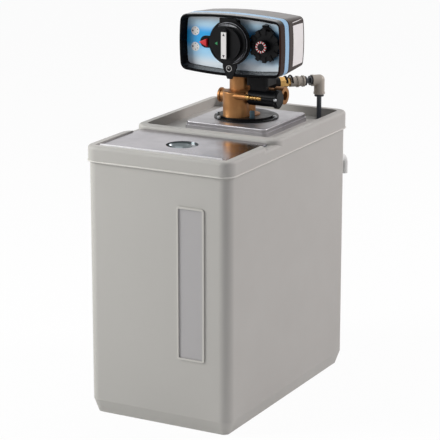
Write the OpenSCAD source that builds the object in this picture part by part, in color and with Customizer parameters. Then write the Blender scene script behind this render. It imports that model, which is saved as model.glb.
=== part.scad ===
// Cabinet water softener: a salt cabinet with a resin tank inside and a bronze control valve,
// driven by a clockwork timer head, standing on top of it.
// Millimetres. +X is right seen from the front, +Y is towards the back, +Z is up.
// The origin is the middle of the cabinet's footprint, on the floor.

/* [Cabinet] */
// Width of the cover's skirt
cover_w = 253; // [236:1:270]
// Depth of the cover's skirt
cover_d = 415; // [400:1:435]
// Radius of the cover's upright corners
corner_r = 20; // [17:1:24]
// Height of the skirt's lower edge above the floor
skirt_z = 404; // [380:1:440]
// Wall of the tub
tub_wall = 4; // [3:0.5:5]
// Floor of the tub
tub_floor = 5; // [4:0.5:8]
// Thickness of the cover's skirt
skirt_t = 2.6; // [2:0.2:3.6]
// Gap between the skirt and the tub
skirt_gap = 0.4; // [0.2:0.1:0.8]
// Radius of the bead round the skirt's lower edge
bead_r = 1.2; // [0.8:0.1:1.8]
// Inset of the chamfer round the tub's foot
foot_inset = 8; // [4:0.5:9]
// Height of that chamfer
foot_h = 22; // [12:1:40]

/* [Front rib and rear bay] */
// Outer width of the rib frame on the front
rib_w = 47; // [30:1:70]
// Outer height of the rib frame
rib_h = 240; // [160:5:280]
// Middle of the rib frame, right of the cabinet's middle
rib_x = 58.5; // [0:0.5:65]
// Lower edge of the rib frame above the floor
rib_z = 113; // [60:1:130]
// Width of the rib
rib_t = 3; // [2:0.5:5]
// How far the rib stands proud
rib_proud = 2; // [1:0.5:3]
// Lower edge of the bay in the rear wall
bay_z = 269; // [200:1:290]
// Height of the bay
bay_h = 106; // [80:1:115]
// Depth of the bay
bay_depth = 10; // [6:0.5:14]

/* [Cover] */
// Height from the skirt's lower edge to the seat on the tub
seat_rise = 10; // [8:0.5:14]
// Thickness of the cover's floors
cover_t = 4; // [3:0.5:6]
// Height of the lid's seat above the cover's seat
saddle_rise = 10; // [8:0.5:13]
// Height of the front rim above the lid's seat
rim_rise = 5; // [3.5:0.5:6]
// Height of the rear frame's crest above the cover's seat
crest_rise = 19; // [16:0.5:22]
// Width of the rims
rim_w = 13.5; // [12:0.5:16]
// Radius along the top edges of the rims
edge_r = 5; // [3:0.5:6]
// Depth of the rear frame, front to back
frame_d = 263; // [250:1:275]
// Width of the saddle between the front rim and the rear frame
saddle_w = 22; // [16:1:30]
// Ledge that the lid rests on, round the salt mouth
ledge_w = 9; // [6:0.5:14]

/* [Salt lid] */
// Thickness of the lid
lid_t = 3; // [2:0.5:3.5]
// Gap round the lid
lid_gap = 0.6; // [0.4:0.1:1.2]
// Diameter of the finger well
well_dish_d = 50; // [36:1:60]
// Depth of the finger well
dish_depth = 13; // [9:0.5:16]
// Height of the locating rib under the lid
lid_rib_h = 6; // [4:0.5:10]

/* [Resin tank] */
// Distance of the tank's axis from the cabinet's rear face
tank_setback = 121.5; // [116:0.5:128]
// Outer radius of the tank
tank_r = 91; // [84:1:94]
// Wall of the tank
tank_wall = 3; // [2:0.5:5]
// Outer radius of the tank's neck
neck_r = 38; // [36:0.5:40]
// Inner radius of the tank's neck
neck_bore = 32; // [30:0.5:33]
// Outer radius of the riser tube
riser_r = 13; // [11:0.5:15]
// Wall of the riser tube
riser_wall = 2.2; // [1.6:0.2:3]

/* [Valve plate and ring] */
// Width of the plate
plate_w = 147; // [132:1:160]
// Depth of the plate
plate_d = 150; // [140:1:160]
// Height of the plate above the recess floor
plate_h = 13; // [10:0.5:16]
// Inset of the plate's upper step
plate_step = 2; // [1:0.5:4]
// Wall of the plate
plate_t = 2; // [1.5:0.5:3]
// Outer radius of the neck ring
ring_r = 52; // [49:0.5:55]
// Height of the neck ring
ring_h = 5; // [4:0.5:8]

/* [Valve body] */
// Radius of the valve's core
core_r = 20; // [18:0.5:23]
// Height of the core above the neck ring
core_h = 42; // [38:0.5:43]
// Radius of the front chamber
chamber_r = 20.5; // [18:0.5:22]
// Distance of the front chamber's axis in front of the tank's axis
chamber_lead = 22; // [18:0.5:24]
// Left shift of the core, the front chamber and the tower
valve_shift = 8; // [5:0.5:9]
// Radius of the tower that carries the head
tower_r = 17; // [16:0.5:19]
// Distance of the tower's axis in front of the tank's axis
tower_lead = 7; // [4:0.5:10]
// Height of the head's foot above the neck ring
tower_h = 70.5; // [68:0.5:80]
// Reach of the inlet port from the valve's axis
inlet_reach = 55; // [50:0.5:64]
// Reach of the outlet port, up to its nut
outlet_reach = 48; // [44:0.5:54]
// Outer radius of the side ports
port_r = 10.5; // [9.5:0.25:12]
// Bore radius of the side ports, for 15 mm copper pipe
port_bore = 7.55; // [6:0.05:8]
// Depth of the ports' bores
port_depth = 18; // [12:0.5:22]
// Outer radius of the drain spigot
drain_r = 6.5; // [5:0.25:8]

/* [Piston] */
// Radius of the piston
piston_r = 9; // [8:0.25:9.5]
// Length of the piston
piston_l = 20; // [16:0.5:22]
// Travel of the piston
piston_travel = 24; // [16:0.5:24]
// Radius of the piston rod
rod_r = 3; // [2.5:0.25:3.5]
// Radius of the bore that holds the seals
stack_r = 12; // [11:0.25:13]
// Thickness of one seal
seal_t = 3; // [2.5:0.25:3.5]
// Height of one spacer
spacer_h = 8; // [7.5:0.25:9]

/* [Injector] */
// Radius of the injector's barrel
barrel_r = 13; // [11:0.5:13.5]
// Length of the barrel
barrel_l = 46; // [42:1:54]
// Radius of the injector's cap
cap_r = 15; // [13.5:0.5:16]
// Thickness of the cap
cap_t = 6; // [4:0.5:9]
// Radius of the brass nozzle
nozzle_r = 3.6; // [3:0.2:4]
// Length of the brass nozzle
nozzle_l = 27; // [20:1:34]
// Length of the sleeve on the nozzle
sleeve_l = 23; // [14:1:28]

/* [Brine line] */
// Outer radius of the brine tube
tube_r = 4; // [3:0.25:4.5]
// Bore radius of the brine tube
tube_bore = 3; // [2:0.25:3.4]
// Direction of the line, turned from the right towards the back
line_turn = 50; // [46:1:54]
// Height of the line above the neck ring
line_rise = 46; // [44:0.5:48]
// Radius of the push-fit bodies
fit_r = 8.75; // [8.5:0.25:10]
// Bare length of tube between the connector and the elbow
link_l = 14; // [10:0.5:16]
// Length of the elbow's legs
elbow_leg = 23; // [20:0.5:26]
// Travel of a collet
collet_travel = 1.5; // [1:0.1:2]
// Outer radius of the brine well
well_r = 22; // [18:0.5:23]
// Wall of the brine well
well_wall = 2; // [1.5:0.5:3]
// Height of the brine well above the tub's floor
well_h = 345; // [300:5:360]
// Radius of the safety float
float_r = 14; // [11:0.5:16]
// Height of the safety float
float_h = 45; // [30:1:60]
// Travel of the safety float
float_travel = 60; // [40:1:80]

/* [Overflow] */
// Radius of the overflow pipe
overflow_r = 6; // [5:0.25:8]
// Reach of the overflow spout behind the bay's wall
overflow_reach = 57; // [44:1:60]
// Place of the overflow, right of the cabinet's middle
overflow_x = 98; // [60:1:100]
// Height of the overflow above the floor
overflow_z = 343; // [320:1:350]

/* [Timer head] */
// Width of the bezel
bezel_w = 181; // [178:1:190]
// Height of the bezel
bezel_h = 97.5; // [95:0.5:102]
// Bulge of the bezel's top and bottom
bulge_z = 5; // [3:0.5:6]
// Bulge of the bezel's sides
bulge_x = 3; // [1.5:0.5:4]
// Corner radius of the bezel
bezel_r = 12; // [10:0.5:15]
// Distance of the bezel's front in front of the tank's axis
bezel_lead = 59; // [57:0.5:61]
// Depth of the panel below the bezel's front
panel_depth = 16.5; // [15:0.5:17.5]
// Rim of the bezel at the sides
bezel_rim = 2.6; // [2.2:0.1:3]
// Rim of the bezel at the top
bezel_rim_top = 4; // [3:0.5:6]
// Rim of the bezel at the foot
bezel_rim_foot = 5; // [4:0.5:7]
// Width of the trim band, front to back
band_w = 13; // [8:0.5:14]
// Depth of the rear cover
cover_depth = 60; // [54:1:68]
// Draft of the rear cover over its depth
cover_draft = 4.5; // [2:0.5:6]
// Wall of the rear cover
cover_wall = 2.5; // [2:0.25:3.5]

/* [Dial and wheel] */
// Height of the dial's axis above the bezel's foot
dial_rise = 53.5; // [50:0.5:56]
// Radius of the hour dial
dial_r = 33; // [32:0.5:34]
// Thickness of the hour dial
dial_t = 3; // [2.5:0.5:4]
// Radius of the knob's disc
knob_r = 32.5; // [30:0.5:33]
// Height of the knob's grip bar above the dial
grip_h = 16; // [12:0.5:20]
// Width of the grip bar
grip_w = 11; // [9:0.5:14]
// Radius of the knob's shaft
shaft_r = 5; // [4:0.25:6]
// Module of the hour gear's teeth
tooth_m = 1.5; // [1.25:0.05:1.55]
// Right shift of the day wheel's axis from the dial's
wheel_x = 57.5; // [56:0.5:57.5]
// Radius of the day wheel
wheel_r = 24; // [22:0.5:24]
// Travel of a day tab
tab_travel = 2; // [1.5:0.25:2]
// Travel of the red button
button_travel = 3; // [2:0.25:4]

/* [Hidden] */
$fn = 64;

// Clearance of a turning or sliding shaft, and of parts that only pass
run_gap = 0.05;
pass_gap = 0.5;
seat_gap = 0.3;

// Heights
seat_z = skirt_z + seat_rise;
recess_z = seat_z + cover_t;
saddle_z = seat_z + saddle_rise;
rim_z = saddle_z + rim_rise;
crest_z = seat_z + crest_rise;
plate_z = recess_z + plate_h;
base_z = plate_z + ring_h;
head_z = base_z + tower_h;
tower_top = head_z + 5;

// Tub
body_inset = skirt_t + skirt_gap;
body_w = cover_w - 2 * body_inset;
body_d = cover_d - 2 * body_inset;
body_r = corner_r - body_inset;
bay_wall_y = body_d / 2 - bay_depth;
rib_corner = 4;

// Cover, front to back
front_y = -cover_d / 2;
frame_y = cover_d / 2 - frame_d;
rim_end_y = frame_y - saddle_w;
pocket_w = cover_w - 2 * rim_w;
pocket_d = frame_y - front_y - rim_w;
mouth_w = pocket_w - 2 * ledge_w;
mouth_d = pocket_d - 2 * ledge_w;
mouth_y = front_y + rim_w + pocket_d / 2;
mouth_r = 8;
base_rise = 2;
recess_d = frame_d - 2 * rim_w;
recess_y = frame_y + frame_d / 2;
recess_r = 9;
slot_l = 26;
slot_w = 6;

// Salt lid
lid_w = pocket_w - 2 * lid_gap;
lid_d = pocket_d - 2 * lid_gap;
lid_r = 6;
lid_edge_r = 1.2;
dish_t = 1.8;
shelf_depth = 2.5;
bowl_r = well_dish_d / 2 - 5;
bowl_x = -4.5;
bowl_y = mouth_y - 1.5;

// Tank and valve places
tank_y = cover_d / 2 - tank_setback;
tank_hole_r = neck_r + 20;
tank_foot_w = 27;
tank_foot_h = 36;
shoulder_drop = 78;
shoulder_h = 46;
shoulder_turn = 75;
neck_l = 30;
spigot_r = neck_bore - seat_gap;
spigot_l = 36;
strainer_l = 26;
chamber_y = tank_y - chamber_lead;
tower_y = tank_y - tower_lead;
core_lag = 4;
chamber_h = 41;
chamber_edge_r = 1.5;
port_lag = 14;
inlet_rise = 23.5;
outlet_rise = 32.5;
outlet_nut_r = 14;
outlet_nut_l = 14.5;
outlet_end = outlet_reach + outlet_nut_l;
port_lip = 3;
port_lip_rise = 1.5;
drain_rise = 21.5;
drain_start = core_r + 8;
drain_l = 26;
ring_step = 3;
ring_land = 8;
ring_lip = 1.5;
collar_r = 22;

// Seal stack in the tower
stack_z = base_z + 4;
seal_count = 5;
stack_h = seal_count * seal_t + (seal_count - 1) * spacer_h;
plug_z = stack_z + stack_h;
plug_h = tower_top - plug_z - 2;
piston_z = stack_z + seat_gap;
piston_land = 4;
groove_w = 4;
groove_depth = 2;

// Injector
barrel_y = tank_y - 18;
barrel_z = base_z + 32.5;
barrel_x = 17;
block_x = tower_r - valve_shift + 1.5;
block_w = 38;
block_top = head_z - 1;
block_z = block_top - 18;
block_y = tank_y - 24;
block_d = 38;
web_t = 10;
web_l = block_x + block_w - barrel_x - 4;
nozzle_y = chamber_y - 15;
nozzle_z = base_z + 35;
nozzle_x = 19;
nozzle_boss_r = 5.2;

// Brine line, with places counted along it from the valve's axis
line_z = base_z + line_rise;
boss_start = 12;
hex_start = 56;
hex_l = 14;
hex_r = 9.4;
ferrule_l = 5;
conn_start = hex_start + hex_l + ferrule_l;
conn_l = 25;
conn_end = conn_start + conn_l;
elbow_mouth = conn_end + link_l;
elbow_bend = 14;
elbow_reach = elbow_mouth + elbow_bend;
grip_depth = 8;
stop_depth = 14;
collet_r = fit_r - 2.2;
collet_flange_r = fit_r - 1;
collet_flange_t = 2;
tube_x = elbow_reach * cos(line_turn);
tube_y = tank_y + elbow_reach * sin(line_turn);

// Overflow
overflow_wall = 1.5;
overflow_shoulder = 4;
overflow_collar = 2;
overflow_nut_t = 4;
overflow_nut_w = 7;

// Strainers
strainer_foot = 6;
strainer_foot_w = 10;
strainer_w = 8;
strainer_h = 44;
strainer_seat = 12;
strainer_sink = 4;
strainer_slot = 1.6;
strainer_slot_z = 16;
strainer_slot_h = 22;
riser_drop = 6;

// Brine well
well_gap = 7;
well_side = 9.5;
well_tank_gap = 2;
well_y = bay_wall_y - tub_wall - well_gap - well_r;
well_reach = tank_r + well_r + well_tank_gap;
well_clear = sqrt(max(0, pow(well_reach, 2) - pow(well_y - tank_y, 2)));
// The well stands by the side wall, clear of the tank
well_x = max(body_w / 2 - tub_wall - well_side - well_r, well_clear);
socket_top = tub_floor + well_h - 12;
socket_h = 20;
socket_r = 8;
pipe_r = 4;
pipe_bore = 2.5;
check_r = 10;
check_h = 36;
stop_r = 8;
stop_h = 4;
float_z = 92;
bend_r = 60;
tube_shift = norm([well_x - tube_x, well_y - tube_y]);
bend_turn = acos(1 - tube_shift / (2 * bend_r));
bend_drop = 2 * bend_r * sin(bend_turn);
bend_z = socket_top + 6 + bend_drop;
bend_heading = atan2(well_y - tube_y, well_x - tube_x);

// Salt grid
grid_z = 46;
grid_t = 4;
grid_gap = 2;
grid_leg_r = 7;
grid_slot = 5;
grid_pitch = 13;
grid_wrap = 59;
grid_rib = 28;
grid_edge = 38;
grid_leg_in = 30;

// Timer head, front to back
bezel_y = tank_y - bezel_lead;
head_mid = head_z + bezel_h / 2;
panel_t = 1.5;
panel_y = bezel_y + panel_depth;
floor_y = panel_y + panel_t;
back_y = bezel_y + 23;
band_y = bezel_y + 16;
band_end = band_y + band_w;
band_t = 1.2;
rear_y = band_end + 3;
cavity_inset = band_t + cover_wall;
chassis_t = 3;
chassis_inset = cavity_inset + seat_gap;
foot_past = 12;
foot_gap = 3;
window_w = bezel_w - 2 * bezel_rim;
window_h = bezel_h - bezel_rim_foot - bezel_rim_top;
window_mid = head_z + bezel_rim_foot + window_h / 2;
window_r = 6;
window_draft = 2.5;
bezel_edge = 1.6;

// Dial, gears and cam
dial_z = head_z + dial_rise;
bracket_y = bezel_y + 0.5;
bracket_t = 3.5;
bracket_rim = 3;
bracket_tab_x = -18;
bracket_tab_w = 30;
bracket_tab_z = head_z + bezel_h - bezel_rim_top - 1.5;
lug_w = 24;
lug_foot_w = 8;
lug_z = head_z + 14;
lug_foot_z = head_z - 4;
dial_y = bracket_y - seat_gap - dial_t;
knob_y = dial_y - seat_gap;
knob_t = 4;
knob_edge = 1;
drum_r = knob_r - 6.5;
drum_h = 6;
crescent_r = 60;
crescents = [[90, 42], [-45, 34], [215, 26]];
hub_r = shaft_r + 4;
gear_y = back_y + chassis_t + 2;
gear_t = 5;
dial_teeth = 36;
pinion_teeth = 12;
mesh_turn = 20;
mesh_span = tooth_m * (dial_teeth + pinion_teeth) / 2;
tooth_slack = 0.35;
pinion_x = mesh_span * cos(mesh_turn);
pinion_z = dial_z + mesh_span * sin(mesh_turn);
pinion_shaft_r = 2;
cam_y = gear_y + gear_t + 2;
cam_t = 6;
cam_r = 20;
cam_lift = 5;
crank_r = piston_travel / 2;
crank_pin_r = 2.5;
yoke_y = tower_y - 2;
yoke_t = 4;
yoke_w = 2 * (crank_r + valve_shift) + 4;
yoke_h = 10;
motor_r = 24;
motor_x = pinion_x + 16;
motor_z = pinion_z - 4;
motor_y = cam_y + 1;
motor_l = 14;
post_r = 3;
post_x = motor_x + 4;
post_rise = 18;
stem_x = 20;
stem_y = tank_y - 21;
stem_r = 2;
stem_travel = 4;
stem_top = dial_z - sqrt(pow(cam_r + cam_lift + seat_gap, 2) - pow(stem_x - stem_r, 2));
stem_foot = block_z + 10;

// Red button, day wheel and tabs
button_x = -43;
button_z = dial_z - 1.5;
button_r = 3;
button_l = 7.5;
button_h = 9;
button_t = 2.5;
ear_r = 9.5;
wheel_z = dial_z - 1.5;
wheel_t = 5;
wheel_y = panel_y - wheel_t - 3.5;
wheel_hub_r = 10;
wheel_hub_h = 12;
wheel_shaft_r = 3;
day_count = 12;
tab_w = 6;
tab_l = 9.5;
tab_out = 2.5;
tab_h = 4.5;
tab_depth = 3;
pointer_w = 8;
pointer_h = 3.5;
pointer_gap = 0.8;

// Colours
cabinet_grey = [0.77, 0.76, 0.73];
silver = [0.72, 0.71, 0.73];
bronze = [0.62, 0.42, 0.24];
brass = [0.78, 0.62, 0.32];
black = [0.09, 0.09, 0.10];
fitting_grey = [0.66, 0.64, 0.60];
tube_grey = [0.23, 0.24, 0.26];
head_brown = [0.24, 0.20, 0.20];
pale_blue = [0.62, 0.73, 0.85];
panel_blue = [0.35, 0.65, 0.87];
inner_white = [0.86, 0.87, 0.86];
tank_blue = [0.36, 0.47, 0.58];
signal_red = [0.82, 0.12, 0.13];

// Helper shapes

// Points of an arc, from angle a0 to a1
function arc(x, y, r, a0, a1, n = 6) =
    [for (i = [0:n]) let (a = a0 + (a1 - a0) * i / n) [x + r * cos(a), y + r * sin(a)]];

// Rectangle with round corners, centred
module rounded_rect(w, d, r) {
    square([w - 2 * r, d], center = true);
    square([w, d - 2 * r], center = true);
    for (x = [-1, 1], y = [-1, 1])
        translate([x * (w / 2 - r), y * (d / 2 - r)])
            circle(r);
}

// Upright prism of a rounded rectangle
module rounded_prism(w, d, r, z0, z1) {
    translate([0, 0, z0])
        linear_extrude(z1 - z0)
            rounded_rect(w, d, r);
}

// Block with round upright corners. The child is its edge, drawn from a corner's centre outwards.
module edged_block(w, d, r, z0, z1) {
    for (q = [0:3]) {
        along = q % 2 == 0 ? d - 2 * r : w - 2 * r;
        reach = (q % 2 == 0 ? w : d) / 2 - r;
        rotate(90 * q)
            translate([reach, along / 2, 0]) {
                rotate_extrude(angle = 90)
                    children();
                rotate([90, 0, 0])
                    linear_extrude(along)
                        children();
            }
    }
    translate([r - w / 2, r - d / 2, z0])
        cube([w - 2 * r, d - 2 * r, z1 - z0]);
}

// Edge of a block with its top rounded over
module round_top(r, z0, z1, f) {
    polygon(concat([[0, z0], [r, z0]], arc(r - f, z1 - f, f, 0, 90), [[0, z1]]));
}

// Rods along the three axes
module rod_x(x0, x1, r) {
    translate([x0, 0, 0])
        rotate([0, 90, 0])
            cylinder(h = x1 - x0, r = r);
}

module rod_y(y0, y1, r) {
    translate([0, y1, 0])
        rotate([90, 0, 0])
            cylinder(h = y1 - y0, r = r);
}

module rod_z(z0, z1, r) {
    translate([0, 0, z0])
        cylinder(h = z1 - z0, r = r);
}

// Tube along Z
module tube_z(z0, z1, r, bore) {
    translate([0, 0, z0])
        linear_extrude(z1 - z0)
            difference() {
                circle(r);
                circle(bore);
            }
}

// Plate that stands upright, from a drawing in X and Z
module upright(y0, y1) {
    translate([0, y1, 0])
        rotate([90, 0, 0])
            linear_extrude(y1 - y0)
                children();
}

// Outline of the head, with bulged sides and round corners
module head_outline(w, h, r) {
    side_r = (h * h / 4 + bulge_x * bulge_x) / (2 * bulge_x);
    top_r = (w * w / 4 + bulge_z * bulge_z) / (2 * bulge_z);
    offset(r, $fn = 32)
        offset(delta = -r)
            intersection_for (s = [-1, 1])
                intersection() {
                    translate([s * (w / 2 - side_r), 0])
                        circle(side_r, $fn = 240);
                    translate([0, s * (h / 2 - top_r)])
                        circle(top_r, $fn = 240);
                }
}

// Places a drawing of the head at the bezel's middle
module at_head(grow = 0) {
    translate([0, head_mid])
        head_outline(bezel_w + 2 * grow, bezel_h + 2 * grow, bezel_r + grow);
}

// Window in the bezel that shows the panel
module window(gap = 0) {
    translate([0, window_mid])
        head_outline(window_w - 2 * gap, window_h - 2 * gap, window_r);
}

// Angle that a tooth's flank has turned at radius r of an involute
function flank_turn(base, r) =
    r <= base ? 0 : sqrt(pow(r / base, 2) - 1) * 180 / PI - acos(base / r);

// Outline of a spur gear with a tooth at angle 0
module spur_gear(teeth) {
    pitch = tooth_m * teeth / 2;
    base = pitch * cos(20);
    tip = pitch + 0.9 * tooth_m;
    root = pitch - 1.2 * tooth_m;
    half = 90 / teeth - tooth_slack / (4 * pitch) * 180 / PI + flank_turn(base, pitch);
    radii = [root, max(root + 0.1, base), pitch, tip];
    flank = [for (r = radii) [r, half - flank_turn(base, r)]];
    polygon([
        for (i = [0:teeth - 1], k = [0:7])
            let (p = flank[k < 4 ? k : 7 - k], a = 360 / teeth * i + (k < 4 ? -p[1] : p[1]))
                [p[0] * cos(a), p[0] * sin(a)]
    ]);
}

// Frame of the brine line: X runs along it from the valve's axis
module on_line() {
    translate([0, tank_y, line_z])
        rotate(line_turn)
            children();
}

// Cabinet

module tub_edge() {
    polygon([[0, 0], [body_r - foot_inset, 0], [body_r, foot_h], [body_r, seat_z], [0, seat_z]]);
}

module tub_hollow_edge() {
    r = body_r - tub_wall;
    foot = r - foot_inset * (1 - tub_floor / foot_h);
    polygon([[0, tub_floor], [foot, tub_floor], [r, foot_h], [r, seat_z + 1], [0, seat_z + 1]]);
}

// The bay across the rear wall, grown by a wall where it shows inside
module rear_bay(grow) {
    translate([-body_w, bay_wall_y - grow, bay_z - grow])
        cube([2 * body_w, cover_d, bay_h + 2 * grow]);
}

module front_rib() {
    translate([rib_x, 0, rib_z + rib_h / 2])
        upright(-body_d / 2 - rib_proud, 1 - body_d / 2)
            difference() {
                rounded_rect(rib_w, rib_h, rib_corner);
                rounded_rect(rib_w - 2 * rib_t, rib_h - 2 * rib_t, rib_corner - rib_t + 1);
            }
}

module cabinet_body() {
    color(cabinet_grey)
        difference() {
            union() {
                difference() {
                    edged_block(body_w, body_d, body_r, 0, seat_z)
                        tub_edge();
                    rear_bay(0);
                }
                front_rib();
            }
            difference() {
                edged_block(body_w - 2 * tub_wall, body_d - 2 * tub_wall, body_r - tub_wall,
                            tub_floor, seat_z + 1)
                    tub_hollow_edge();
                rear_bay(tub_wall);
            }
            translate([overflow_x, 0, overflow_z])
                rod_y(bay_wall_y - tub_wall - 1, bay_wall_y + 1, overflow_r + overflow_collar + seat_gap);
        }
}

module skirt_edge() {
    polygon([[0, skirt_z], [corner_r, skirt_z], [corner_r, seat_z + base_rise], [0, seat_z + base_rise]]);
    translate([corner_r, skirt_z + bead_r])
        circle(bead_r);
}

// Solid outside of the cover: skirt, front rim, saddle and rear frame
module cover_form() {
    z0 = seat_z + base_rise;
    rim_d = rim_end_y - front_y;
    edged_block(cover_w, cover_d, corner_r, skirt_z, z0)
        skirt_edge();
    translate([0, front_y + rim_d / 2, 0])
        edged_block(cover_w, rim_d, corner_r, z0, rim_z)
            round_top(corner_r, z0, rim_z, edge_r);
    translate([0, recess_y, 0])
        edged_block(cover_w, frame_d, corner_r, z0, crest_z)
            round_top(corner_r, z0, crest_z, edge_r);
    upright(rim_end_y - corner_r, frame_y + corner_r)
        for (s = [0, 1])
            mirror([s, 0])
                round_top(cover_w / 2, z0, saddle_z, edge_r);
}

module top_cover() {
    color(cabinet_grey)
        difference() {
            cover_form();
            // Hollow that takes the tub's upper edge
            rounded_prism(cover_w - 2 * skirt_t, cover_d - 2 * skirt_t, corner_r - skirt_t,
                          skirt_z - 1, seat_z);
            // Lid's pocket, the hollow under its seat, and the salt mouth
            translate([-pocket_w / 2, front_y + rim_w, saddle_z])
                cube([pocket_w, pocket_d, crest_rise]);
            translate([0, mouth_y, 0])
                rounded_prism(pocket_w, pocket_d, mouth_r, skirt_z, saddle_z - cover_t);
            translate([0, mouth_y, 0])
                rounded_prism(mouth_w, mouth_d, mouth_r, skirt_z, saddle_z + 1);
            // Rear recess with the holes for the tank's neck and the brine tube
            translate([0, recess_y, 0])
                rounded_prism(pocket_w, recess_d, recess_r, recess_z, crest_z + 1);
            translate([0, tank_y, 0])
                rod_z(skirt_z, crest_z, tank_hole_r);
            translate([tube_x, tube_y, 0])
                rod_z(skirt_z, crest_z, tube_r + 2);
            for (s = [-1, 1])
                translate([s * (pocket_w / 2 - slot_l / 2 - 2), frame_y + rim_w + slot_w, 0])
                    rounded_prism(slot_l, slot_w, slot_w / 2 - 0.5, skirt_z, crest_z);
        }
}

// Bowl of the finger well, drawn from its rim down and a little above it
module bowl_edge(r, depth) {
    over = 0.5;
    ball = (r * r + depth * depth) / (2 * depth);
    turn = asin(r / ball);
    polygon(concat([[0, over]], arc(0, ball - depth, ball, -90, turn - 90, 8), [[r, over]]));
}

module finger_bowl(grow) {
    translate([bowl_x, bowl_y, saddle_z + lid_t - shelf_depth])
        rotate_extrude()
            bowl_edge(bowl_r + grow, dish_depth - shelf_depth + grow);
}

module salt_lid() {
    r = well_dish_d / 2;
    top = saddle_z + lid_t;
    shelf_z = top - shelf_depth;
    rib_w2 = mouth_w - 2 * lid_gap;
    rib_d2 = mouth_d - 2 * lid_gap;
    color(silver)
        difference() {
            union() {
                translate([0, mouth_y, 0])
                    edged_block(lid_w, lid_d, lid_r, saddle_z, top)
                        round_top(lid_r, saddle_z, top, lid_edge_r);
                translate([0, mouth_y, saddle_z - lid_rib_h])
                    linear_extrude(lid_rib_h + 1)
                        difference() {
                            rounded_rect(rib_w2, rib_d2, mouth_r);
                            rounded_rect(rib_w2 - 2 * lid_t, rib_d2 - 2 * lid_t, mouth_r - lid_t);
                        }
                translate([0, mouth_y, 0])
                    rod_z(shelf_z - dish_t, top - 0.5, r + dish_t);
                finger_bowl(dish_t);
            }
            translate([0, mouth_y, 0])
                rod_z(shelf_z, top + 1, r);
            finger_bowl(0);
        }
}

module valve_plate() {
    step_z = recess_z + plate_h / 2;
    color(silver)
        translate([0, tank_y, 0])
            difference() {
                union() {
                    rounded_prism(plate_w, plate_d, 8, recess_z, step_z);
                    edged_block(plate_w - 2 * plate_step, plate_d - 2 * plate_step, 7, step_z, plate_z)
                        round_top(7, step_z, plate_z, 2);
                }
                rounded_prism(plate_w - 2 * plate_t, plate_d - 2 * plate_t, 8 - plate_t,
                              recess_z - 1, step_z - plate_t);
                rounded_prism(plate_w - 2 * (plate_step + plate_t), plate_d - 2 * (plate_step + plate_t),
                              7 - plate_t, step_z - plate_t - 1, plate_z - plate_t);
                rod_z(recess_z, plate_z + 1, neck_r + 1);
            }
}

module overflow_elbow() {
    spout_l = 17;
    sweep_r = 12;
    shoulder_r = overflow_r + 6;
    bore = overflow_r - overflow_wall;
    y0 = bay_wall_y - tub_wall - overflow_nut_t - 1;
    y1 = bay_wall_y + overflow_reach - sweep_r;
    color(inner_white)
        translate([overflow_x, 0, overflow_z])
            difference() {
                union() {
                    rod_y(y0, bay_wall_y + 1, overflow_r + overflow_collar);
                    rod_y(bay_wall_y, bay_wall_y + overflow_shoulder, shoulder_r);
                    rod_y(bay_wall_y + overflow_shoulder / 2, y1, overflow_r);
                    translate([0, y1, -sweep_r])
                        rotate([90, 0, 90])
                            rotate_extrude(angle = 90)
                                translate([sweep_r, 0])
                                    circle(overflow_r);
                    translate([0, y1 + sweep_r, 0])
                        rod_z(-sweep_r - spout_l, -sweep_r, overflow_r);
                }
                rod_y(y0 - 1, y1, bore);
                translate([0, y1, -sweep_r])
                    rotate([90, 0, 90])
                        rotate_extrude(angle = 90)
                            translate([sweep_r, 0])
                                circle(bore);
                translate([0, y1 + sweep_r, 0])
                    rod_z(-sweep_r - spout_l - 1, -sweep_r, bore);
            }
}

// Nut that holds the elbow from inside the tub
module overflow_nut() {
    y1 = bay_wall_y - tub_wall;
    color(inner_white)
        translate([overflow_x, y1, overflow_z])
            rotate([90, 0, 0])
                difference() {
                    cylinder(h = overflow_nut_t, r = overflow_r + overflow_nut_w, $fn = 6);
                    translate([0, 0, -1])
                        cylinder(h = overflow_nut_t + 2, r = overflow_r + overflow_collar + run_gap);
                }
}

module salt_grid() {
    w = body_w - 2 * tub_wall - 2 * grid_gap;
    front = -body_d / 2 + tub_wall + grid_gap;
    back = tank_y - tank_r + grid_wrap;
    d = back - front;
    rows = floor((d - 2 * grid_pitch) / grid_pitch);
    slot = w / 2 - grid_rib / 2 - grid_edge;
    color(inner_white)
        difference() {
            union() {
                translate([0, front + d / 2, 0])
                    rounded_prism(w, d, body_r - tub_wall, grid_z - grid_t, grid_z);
                for (x = [-1, 1], y = [front + grid_leg_in, back - grid_leg_in])
                    translate([x * (w / 2 - grid_leg_in), y, 0])
                        rod_z(tub_floor, grid_z - grid_t + 1, grid_leg_r);
            }
            translate([0, tank_y, 0])
                rod_z(0, grid_z + 1, tank_r + grid_gap);
            for (i = [0:rows])
                translate([0, front + grid_pitch * (i + 1), grid_z - grid_t - 1])
                    for (x = [grid_rib / 2, -grid_rib / 2 - slot])
                        translate([x, -grid_slot / 2, 0])
                            cube([slot, grid_slot, grid_t + 2]);
        }
}

// Brine well and pick-up

module brine_well() {
    color(inner_white)
        translate([well_x, well_y, 0])
            difference() {
                tube_z(tub_floor, tub_floor + well_h, well_r, well_r - well_wall);
                for (a = [0:60:300])
                    rotate(a)
                        translate([0, -2.5, tub_floor + 8])
                            cube([well_r + 1, 5, 30]);
            }
}

module pickup_pipe() {
    color(inner_white)
        translate([well_x, well_y, 0])
            difference() {
                union() {
                    rod_z(tub_floor + check_h, socket_top - socket_h + 1, pipe_r);
                    rod_z(socket_top - socket_h, socket_top, socket_r);
                    for (z = [float_z - stop_h, float_z + float_h + float_travel])
                        rod_z(z, z + stop_h, stop_r);
                }
                rod_z(tub_floor, socket_top + 1, pipe_bore);
                rod_z(socket_top - stop_depth, socket_top + 1, tube_r + run_gap);
            }
}

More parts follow.
